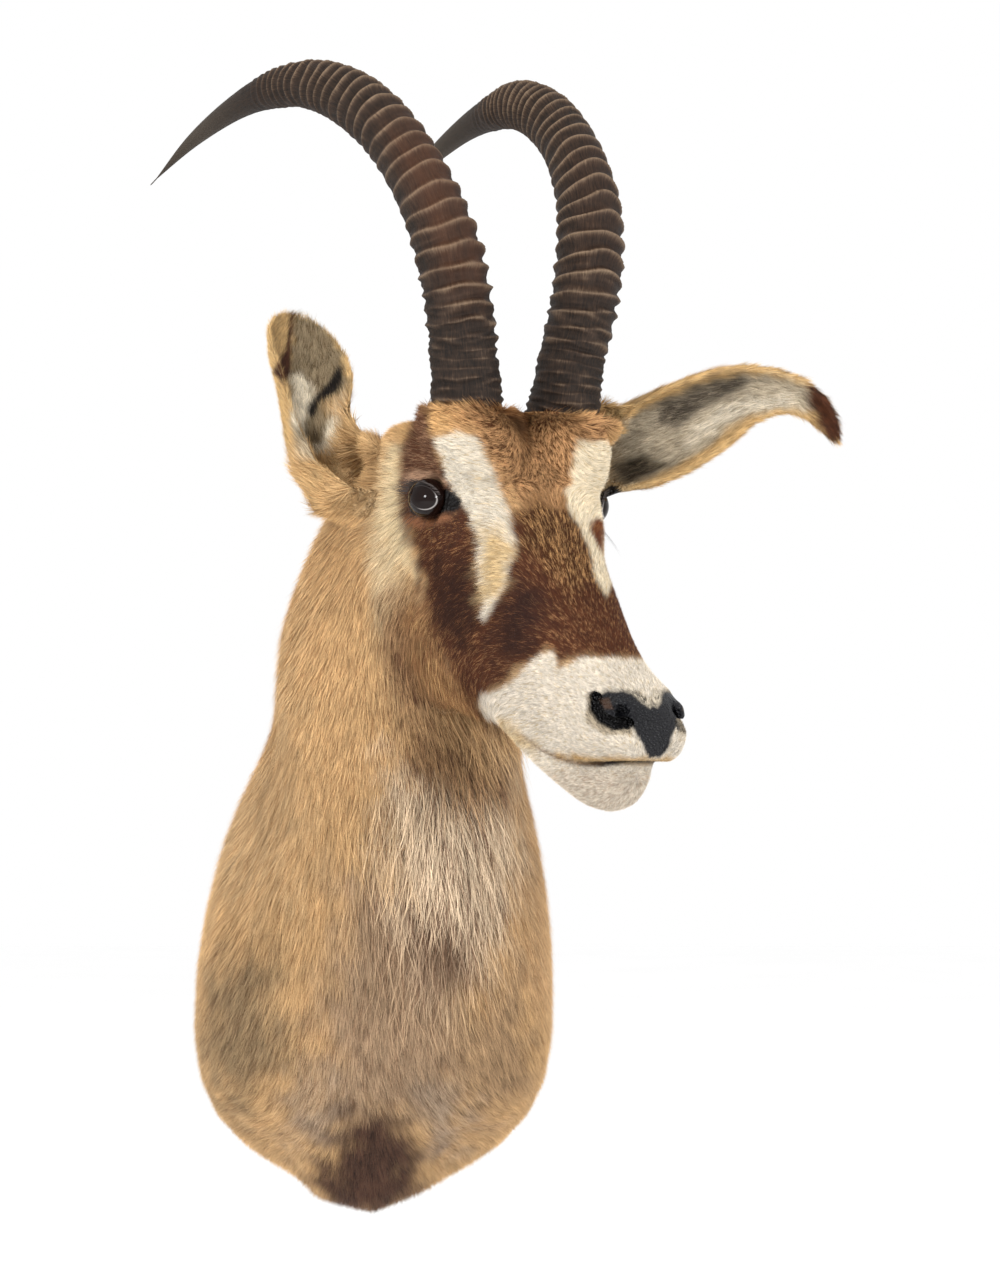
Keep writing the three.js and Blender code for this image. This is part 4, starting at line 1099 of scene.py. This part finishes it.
for side, mirror in (("right", (1, 1, 1)), ("left", (1, -1, 1))):
    chance = np.random.default_rng(31)
    hairs = []
    for share in np.linspace(0, 1, LASHES):
        turned = math.radians(LASH_ROW_FROM - (LASH_ROW_FROM - LASH_ROW_TO) * share + chance.uniform(-2, 2))
        ahead = OPENING_LENGTH * LASH_ROW_OUT * math.cos(turned)
        out = out_of_eye(ahead, OPENING_HEIGHT * LASH_ROW_OUT * math.sin(turned) - OPENING_SLANT * ahead)
        root = head_place((EYE_CENTRE + out * (EYE_RADIUS + LID_THICKNESS - 0.3)) * mirror)
        way = out * 0.35 + EYE_GAZE * 0.5 - EYE_AHEAD * 0.9 + (0, 0, -0.2) + chance.normal(0, 0.1, 3)
        length = LASH_LENGTH * (1.4 - 1.05 * share) * chance.uniform(0.75, 1.1)
        sag = np.array((0, 0, 0.25)) + (-EYE_AHEAD * 0.3 * mirror) @ HEAD_AXES
        hairs.append((root, unit(way * mirror @ HEAD_AXES), length, sag))
    strands("lashes_" + side, hairs, LASH_WIDTH)

    hairs = []
    for ahead, up in FEELER_ROOTS:
        out = out_of_eye(ahead, up)
        root = head_place((EYE_CENTRE + out * (EYE_RADIUS + 1)) * mirror)
        way = out + EYE_GAZE * 0.7 - EYE_AHEAD * 0.4 + chance.normal(0, 0.12, 3)
        length = chance.uniform(*FEELER_LENGTHS)
        hairs.append((root, unit(way * mirror @ HEAD_AXES), length, np.array((0, 0, -0.3))))
    strands("feelers_" + side, hairs, FEELER_WIDTH)

# Horns
# Two sheaths of dark horn over bone, curved back, with rings raised by each season's growth. The rings are
# strong in front and weak behind, crowd together near the skull, and stop before the smooth grey tip.
HORN_ROWS, HORN_SIDES = 820, 60
HORN_FLATTENING = 0.94
# Back, to the side, up and radius in mm in the head's frame, from the hidden root to the tip.
HORN_PATH = np.array([
    (4, 52, -24, 39), (-1, 58, 1, 39), (-4, 66, 54, 36.5), (-7, 76, 104, 36), (-1, 86, 154, 35),
    (19, 98, 208, 33), (60, 109, 262, 31), (95, 116, 291, 29.5), (139, 123, 315, 27.5), (197, 131, 331, 24.5),
    (256, 138, 330, 20.5), (314, 142, 319, 15.5), (396, 147, 290, 9.5), (476, 151, 249, 1.6),
], float)
# The left horn ends a little short of the right one's path. The right horn hides its end from the camera.
LEFT_TIP_SHORTER = (-26, -1, 14, 0)
FIRST_RING, STRONG_RINGS, LAST_RING = 46, 135, 560  # mm along the horn
RING_PITCHES = ((46, 9), (110, 14), (170, 19.5), (250, 19.5), (560, 9.5))  # mm along it, mm to the next ring
RING_HEIGHT, RING_TILT, RING_PEAK = 6.2, 3.0, 6.0
RING_RISE = 0.7  # share of a ring over which it rises to its crest
LOWEST_RING, RING_SPREAD = 0.62, 0.6  # height of the lowest ring, and how much more the highest has
RING_WAVER, RING_JITTER = 6.0, 1.3  # mm by which the rings' lines wander, in long waves and in short ones
FINE_WRINKLES, COARSE_WRINKLES = 1.2, 2.6  # mm, near the skull, where the horn is rough
FRONT_WARMTH = {-1: 0.75, 1: 0.15}  # how warm the front is, on the right horn and on the left one


def through(path, rows):
    """Places on a smooth line through the path's points, evenly spread, with the length along it in mm."""
    gaps = np.linalg.norm(np.diff(path[:, :3], axis=0), axis=1)
    knots = np.concatenate([[0], np.cumsum(np.sqrt(gaps))])
    slopes = np.gradient(path, knots, axis=0)
    found = []
    for place in range(len(path) - 1):
        width = knots[place + 1] - knots[place]
        t = np.linspace(0, 1, 200, endpoint=place == len(path) - 2)[:, None]
        h = 2 * t**3 - 3 * t**2 + 1, t**3 - 2 * t**2 + t, -2 * t**3 + 3 * t**2, t**3 - t**2
        found.append(h[0] * path[place] + h[1] * width * slopes[place] + h[2] * path[place + 1]
                     + h[3] * width * slopes[place + 1])
    fine = np.concatenate(found)
    run = np.concatenate([[0], np.cumsum(np.linalg.norm(np.diff(fine[:, :3], axis=0), axis=1))])
    even = np.linspace(0, run[-1], rows)
    return np.stack([np.interp(even, run, fine[:, column]) for column in range(4)], 1), even


def horn_mesh(name, turn, seed):
    """One horn: turn is -1 for the animal's right one and 1 for the left one."""
    path = HORN_PATH.copy()
    if turn > 0:
        path[-1] += LEFT_TIP_SHORTER
    line, run = through(path, HORN_ROWS)
    middle, radius = line[:, :3] * (-1, turn, 1), line[:, 3]
    heading = unit(np.gradient(middle, axis=0))
    across = unit(np.array((0, 1.0, 0)) - heading * heading[:, 1:2])
    front = np.cross(across, heading)
    front *= np.sign(front[:HORN_ROWS // 3, 0].sum())
    angles = np.linspace(0, 2 * np.pi, HORN_SIDES, endpoint=False)
    s, angle = np.meshgrid(run, angles, indexing="ij")
    ahead, aside = np.cos(angle), np.sin(angle)
    outer = aside * turn

    def uneven_skin(round_share, lump, own_seed):
        """Noise over the horn: round_share is for its turn about the horn, lump its length along it in mm."""
        stacked = np.stack([ahead * round_share, aside * round_share, s / lump], -1)
        return rough(stacked.reshape(-1, 3), 1.0, own_seed).reshape(s.shape)

    waver = uneven_skin(0.8, 40, seed)
    detail = uneven_skin(2.2, 9, seed + 1)
    peak = RING_PEAK * np.exp(-((1 - ahead) / 0.25)) * between(60, 200, s)
    shifted = s - peak - RING_TILT * outer + RING_WAVER * waver + RING_JITTER * detail
    fine_run = np.linspace(0, run[-1] + 30, 4000)
    pitch = np.interp(fine_run, *np.array(RING_PITCHES, float).T)
    rings = np.concatenate([[0], np.cumsum(np.diff(fine_run) / pitch[1:])])
    count = np.interp(shifted, fine_run, rings)
    phase = count - np.floor(count)
    uneven = LOWEST_RING + RING_SPREAD * (np.sin(np.floor(count) * 12.99 + seed) * 0.5 + 0.5)
    crest = np.where(phase < RING_RISE, (phase / RING_RISE) ** 2.5, ((1 - phase) / 0.3) ** 1.3)
    strength = 0.35 + 0.65 * np.clip(0.5 + 0.5 * ahead - 0.1 * outer, 0, 1)
    ending = 1 - between(LAST_RING - 60, LAST_RING, s)
    strength *= (0.3 + 0.7 * between(FIRST_RING, STRONG_RINGS + 60, s)) * ending
    strength *= radius[:, None] ** 0.4 / 36**0.4
    coarse = uneven_skin(1.6, 5, seed + 2)
    wrinkle = (1 - 0.75 * between(90, 260, s)) * (FINE_WRINKLES * detail + COARSE_WRINKLES * coarse)
    wrinkle = wrinkle * (1 - between(480, 600, s))
    radii = radius[:, None] - RING_HEIGHT * 0.35 + RING_HEIGHT * strength * crest * uneven + wrinkle
    radii += 0.35 * detail * between(200, 300, s) * (1 - between(500, 640, s))
    radii = np.maximum(radii, 0.6)
    ring_points = (middle[:, None] + (ahead * radii)[..., None] * front[:, None]
                   + (aside * radii * HORN_FLATTENING)[..., None] * across[:, None])
    places = np.concatenate([ring_points.reshape(-1, 3), middle[:1], middle[-1:] + heading[-1:] * 2])
    total = HORN_ROWS * HORN_SIDES
    faces = []
    for row in range(HORN_ROWS - 1):
        for column in range(HORN_SIDES):
            after = (column + 1) % HORN_SIDES
            faces.append((row * HORN_SIDES + column, row * HORN_SIDES + after,
                          (row + 1) * HORN_SIDES + after, (row + 1) * HORN_SIDES + column))
    for column in range(HORN_SIDES):
        after = (column + 1) % HORN_SIDES
        faces.append((total, after, column))
        faces.append((total + 1, total - HORN_SIDES + column, total - HORN_SIDES + after))
    made = mesh_object(name, [tuple(place) for place in head_place(places)], faces)
    turned = bmesh.new()
    turned.from_mesh(made.data)
    bmesh.ops.recalc_face_normals(turned, faces=turned.faces)
    turned.to_mesh(made.data)
    turned.free()
    made.data.shade_smooth()
    raised = np.clip(crest**1.8 * np.clip(strength * 1.3, 0, 1) + 0.2 * wrinkle, 0, 1)
    front_warmth = FRONT_WARMTH[turn] * np.clip(ahead, 0, 1) * between(90, 180, s) * (1 - between(260, 360, s))
    fibres = np.stack([ahead * 30, aside * 30, s * 0.09], -1).reshape(-1, 3)
    ends = np.zeros(2)
    with_attributes(
        made,
        crest=np.concatenate([raised.ravel(), ends]),
        run=np.concatenate([(s / run[-1]).ravel(), (0, 1)]),
        grain=np.concatenate([fibres, np.zeros((2, 3))]),
        worn=np.concatenate([front_warmth.ravel(), ends]),
    )
    return made


# Horn: keratin, fibrous along its length. Dull and nearly black in the hollows and at the root, brown and
# worn smoother on the rings' crests, warmer in front, much more on the right horn than on the left, and
# grey at the tip.
horn_material, tree = new_material("ringed horn")
crest, run, worn = (
    add(tree, "ShaderNodeAttribute", {"attribute_name": name}).outputs["Fac"]
    for name in ("crest", "run", "worn")
)
grain = add(tree, "ShaderNodeAttribute", {"attribute_name": "grain"}).outputs["Vector"]
fibre = add(tree, "ShaderNodeTexNoise", None,
            {"Vector": grain, "Scale": 0.9, "Detail": 5.0, "Roughness": 0.7})
patch = add(tree, "ShaderNodeTexNoise", None, {"Vector": grain, "Scale": 0.08, "Detail": 3.0})
raised = add(tree, "ShaderNodeMath", {"operation": "MULTIPLY_ADD"}, {0: crest, 1: 0.75, 2: 0.1})
spread = add(tree, "ShaderNodeMath", {"operation": "MULTIPLY_ADD"},
             {0: fibre.outputs["Fac"], 1: 1.2, 2: -0.56})
level = add(tree, "ShaderNodeMath", {"operation": "ADD", "use_clamp": True},
            {0: raised.outputs[0], 1: spread.outputs[0]})
body = add(tree, "ShaderNodeValToRGB", None, {"Fac": level.outputs[0]})
body.color_ramp.elements.new(0.38)
for stop, code in zip(body.color_ramp.elements, ("#0f0a07", "#34261c", "#7a6652")):
    stop.color = opaque(code)
warm = add(tree, "ShaderNodeMath", {"operation": "MULTIPLY"}, {0: worn, 1: patch.outputs["Fac"]})
warmed = add(tree, "ShaderNodeMix", {"data_type": "RGBA"},
             {"Factor": warm.outputs[0], 6: body.outputs["Color"], 7: opaque("#52301c")})
tip_share = add(tree, "ShaderNodeMapRange", None,
                {"Value": run, "From Min": 0.72, "From Max": 0.86, "To Max": 0.7})
tipped = add(tree, "ShaderNodeMix", {"data_type": "RGBA"},
             {"Factor": tip_share.outputs["Result"], 6: warmed.outputs[2], 7: opaque("#453d34")})
root_share = add(tree, "ShaderNodeMapRange", None,
                 {"Value": run, "From Min": 0.06, "From Max": 0.3, "To Min": 0.8, "To Max": 1.0})
rooted = add(tree, "ShaderNodeVectorMath", {"operation": "SCALE"},
             {0: tipped.outputs[2], "Scale": root_share.outputs["Result"]})
gloss = add(tree, "ShaderNodeMapRange", None, {"Value": crest, "To Min": 0.68, "To Max": 0.5})
bump = add(tree, "ShaderNodeBump", None,
           {"Strength": 0.8, "Distance": 0.0016, "Height": fibre.outputs["Fac"]})
shader = add(tree, "ShaderNodeBsdfPrincipled", None,
             {"Base Color": rooted.outputs[0], "Roughness": gloss.outputs["Result"],
              "Normal": bump.outputs["Normal"], "Specular IOR Level": 0.22})
end_material(tree, shader)

for side, turn, seed in (("right", -1, 3), ("left", 1, 8)):
    horn = horn_mesh("ringed_horn_" + side, turn, seed)
    horn.data.materials.append(horn_material)
    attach(horn, "root")
    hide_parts("horn_" + side)

# Backboard
# A sheet of birch plywood, cast into the foam of the form so that it lies flush with its back. It is sanded
# and left bare, with its layers showing at the edge, and it carries the hanger. The frame's node shows it.

# Birch plywood: pale wood with long fine grain on the face, matt.
plywood, tree = new_material("sanded plywood")
place = add(tree, "ShaderNodeTexCoord").outputs["Object"]
stretched = add(tree, "ShaderNodeMapping", None, {"Vector": place, "Scale": (90.0, 60.0, 6.0)})
figure = add(tree, "ShaderNodeTexNoise", None, {"Vector": stretched.outputs[0], "Scale": 1.0, "Detail": 6.0})
layers = add(tree, "ShaderNodeTexWave", {"bands_direction": "Y"},
             {"Vector": place, "Scale": 90.0, "Distortion": 0.3})
tint = add(tree, "ShaderNodeMix", {"data_type": "RGBA"},
           {"Factor": figure.outputs["Fac"], 6: opaque("#c79d68"), 7: opaque("#e0c08e")})
layered = add(tree, "ShaderNodeMix", {"data_type": "RGBA", "blend_type": "MULTIPLY"},
              {"Factor": 0.25, 6: tint.outputs[2], 7: layers.outputs["Color"]})
bump = add(tree, "ShaderNodeBump", None,
           {"Strength": 0.3, "Distance": 0.0004, "Height": figure.outputs["Fac"]})
shader = add(tree, "ShaderNodeBsdfPrincipled", None,
             {"Base Color": layered.outputs[2], "Roughness": 0.7, "Normal": bump.outputs["Normal"]})
end_material(tree, shader)

# Hanger
# A keyhole plate of pressed steel, let in flush with the board, and the two countersunk screws that hold
# it, all zinc plated. The wall's screw goes through the plate's hole and up its slot. The frame's nodes show
# them.

# Zinc-plated steel: bluish grey, satin, with faint spangles.
zinc, tree = new_material("zinc-plated steel")
place = add(tree, "ShaderNodeTexCoord").outputs["Object"]
spangle = add(tree, "ShaderNodeTexVoronoi", None, {"Vector": place, "Scale": 260.0})
tint = add(tree, "ShaderNodeMix", {"data_type": "RGBA"},
           {"Factor": spangle.outputs["Distance"], 6: opaque("#a9adb0"), 7: opaque("#c8cac8")})
gloss = add(tree, "ShaderNodeMapRange", None,
            {"Value": spangle.outputs["Distance"], "To Min": 0.3, "To Max": 0.45})
shader = add(tree, "ShaderNodeBsdfPrincipled", None,
             {"Base Color": tint.outputs[2], "Roughness": gloss.outputs["Result"], "Metallic": 1.0})
end_material(tree, shader)

for node, material in (("backboard", plywood), ("hanger_plate", zinc), ("hanger_screw_lower", zinc),
                       ("hanger_screw_upper", zinc)):
    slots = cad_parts[node].data.materials
    slots.clear()
    slots.append(material)

# Floor and light
# A white studio floor far below the mount, a white surround, two soft boxes at either side of the camera
# and one above.

# Matt white paper with the faintest cloudiness.
floor_material, tree = new_material("pale paper")
place = add(tree, "ShaderNodeTexCoord").outputs["Object"]
tint = add(tree, "ShaderNodeTexNoise", None, {"Vector": place, "Scale": 3.0})
tone = add(tree, "ShaderNodeMapRange", None, {"Value": tint.outputs["Fac"], "To Min": 0.97, "To Max": 1.0})
end_material(tree, add(tree, "ShaderNodeBsdfPrincipled", None,
                       {"Base Color": tone.outputs["Result"], "Roughness": 0.9}))
FLOOR_HEIGHT, FLOOR_REACH = -0.75, 12
corners = [(x * FLOOR_REACH, y * FLOOR_REACH, FLOOR_HEIGHT) for x, y in ((-1, -1), (1, -1), (1, 1), (-1, 1))]
floor = mesh_object("floor", corners, [(0, 1, 2, 3)])
floor.data.materials.append(floor_material)
floor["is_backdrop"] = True

world = bpy.data.worlds.new("studio")
bpy.context.scene.world = world
world.use_nodes = True
background = world.node_tree.nodes["Background"]
background.inputs["Color"].default_value = (1, 1, 1, 1)
background.inputs["Strength"].default_value = 1.0
bpy.context.scene.view_settings.view_transform = "Standard"


LIGHTS_AIM = Vector((0.1, -0.4, 0.3))


def soft_box(name, place, width, power, seen_in_glass):
    """A square light of that width in metres and power in watts, aimed at the head and neck."""
    light = bpy.data.lights.new(name, "AREA")
    light.size = width
    light.energy = power
    box = bpy.data.objects.new(name, light)
    box.location = place
    box.rotation_euler = (LIGHTS_AIM - Vector(place)).to_track_quat("-Z", "Y").to_euler()
    box.visible_glossy = seen_in_glass
    bpy.context.scene.collection.objects.link(box)


soft_box("left box", (-1.1, -4.2, 1.15), 0.75, 85, True)
soft_box("right box", (3.0, -3.3, 0.95), 0.75, 60, True)
soft_box("top box", (-0.8, -1.8, 3.2), 1.6, 70, False)

low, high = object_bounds()
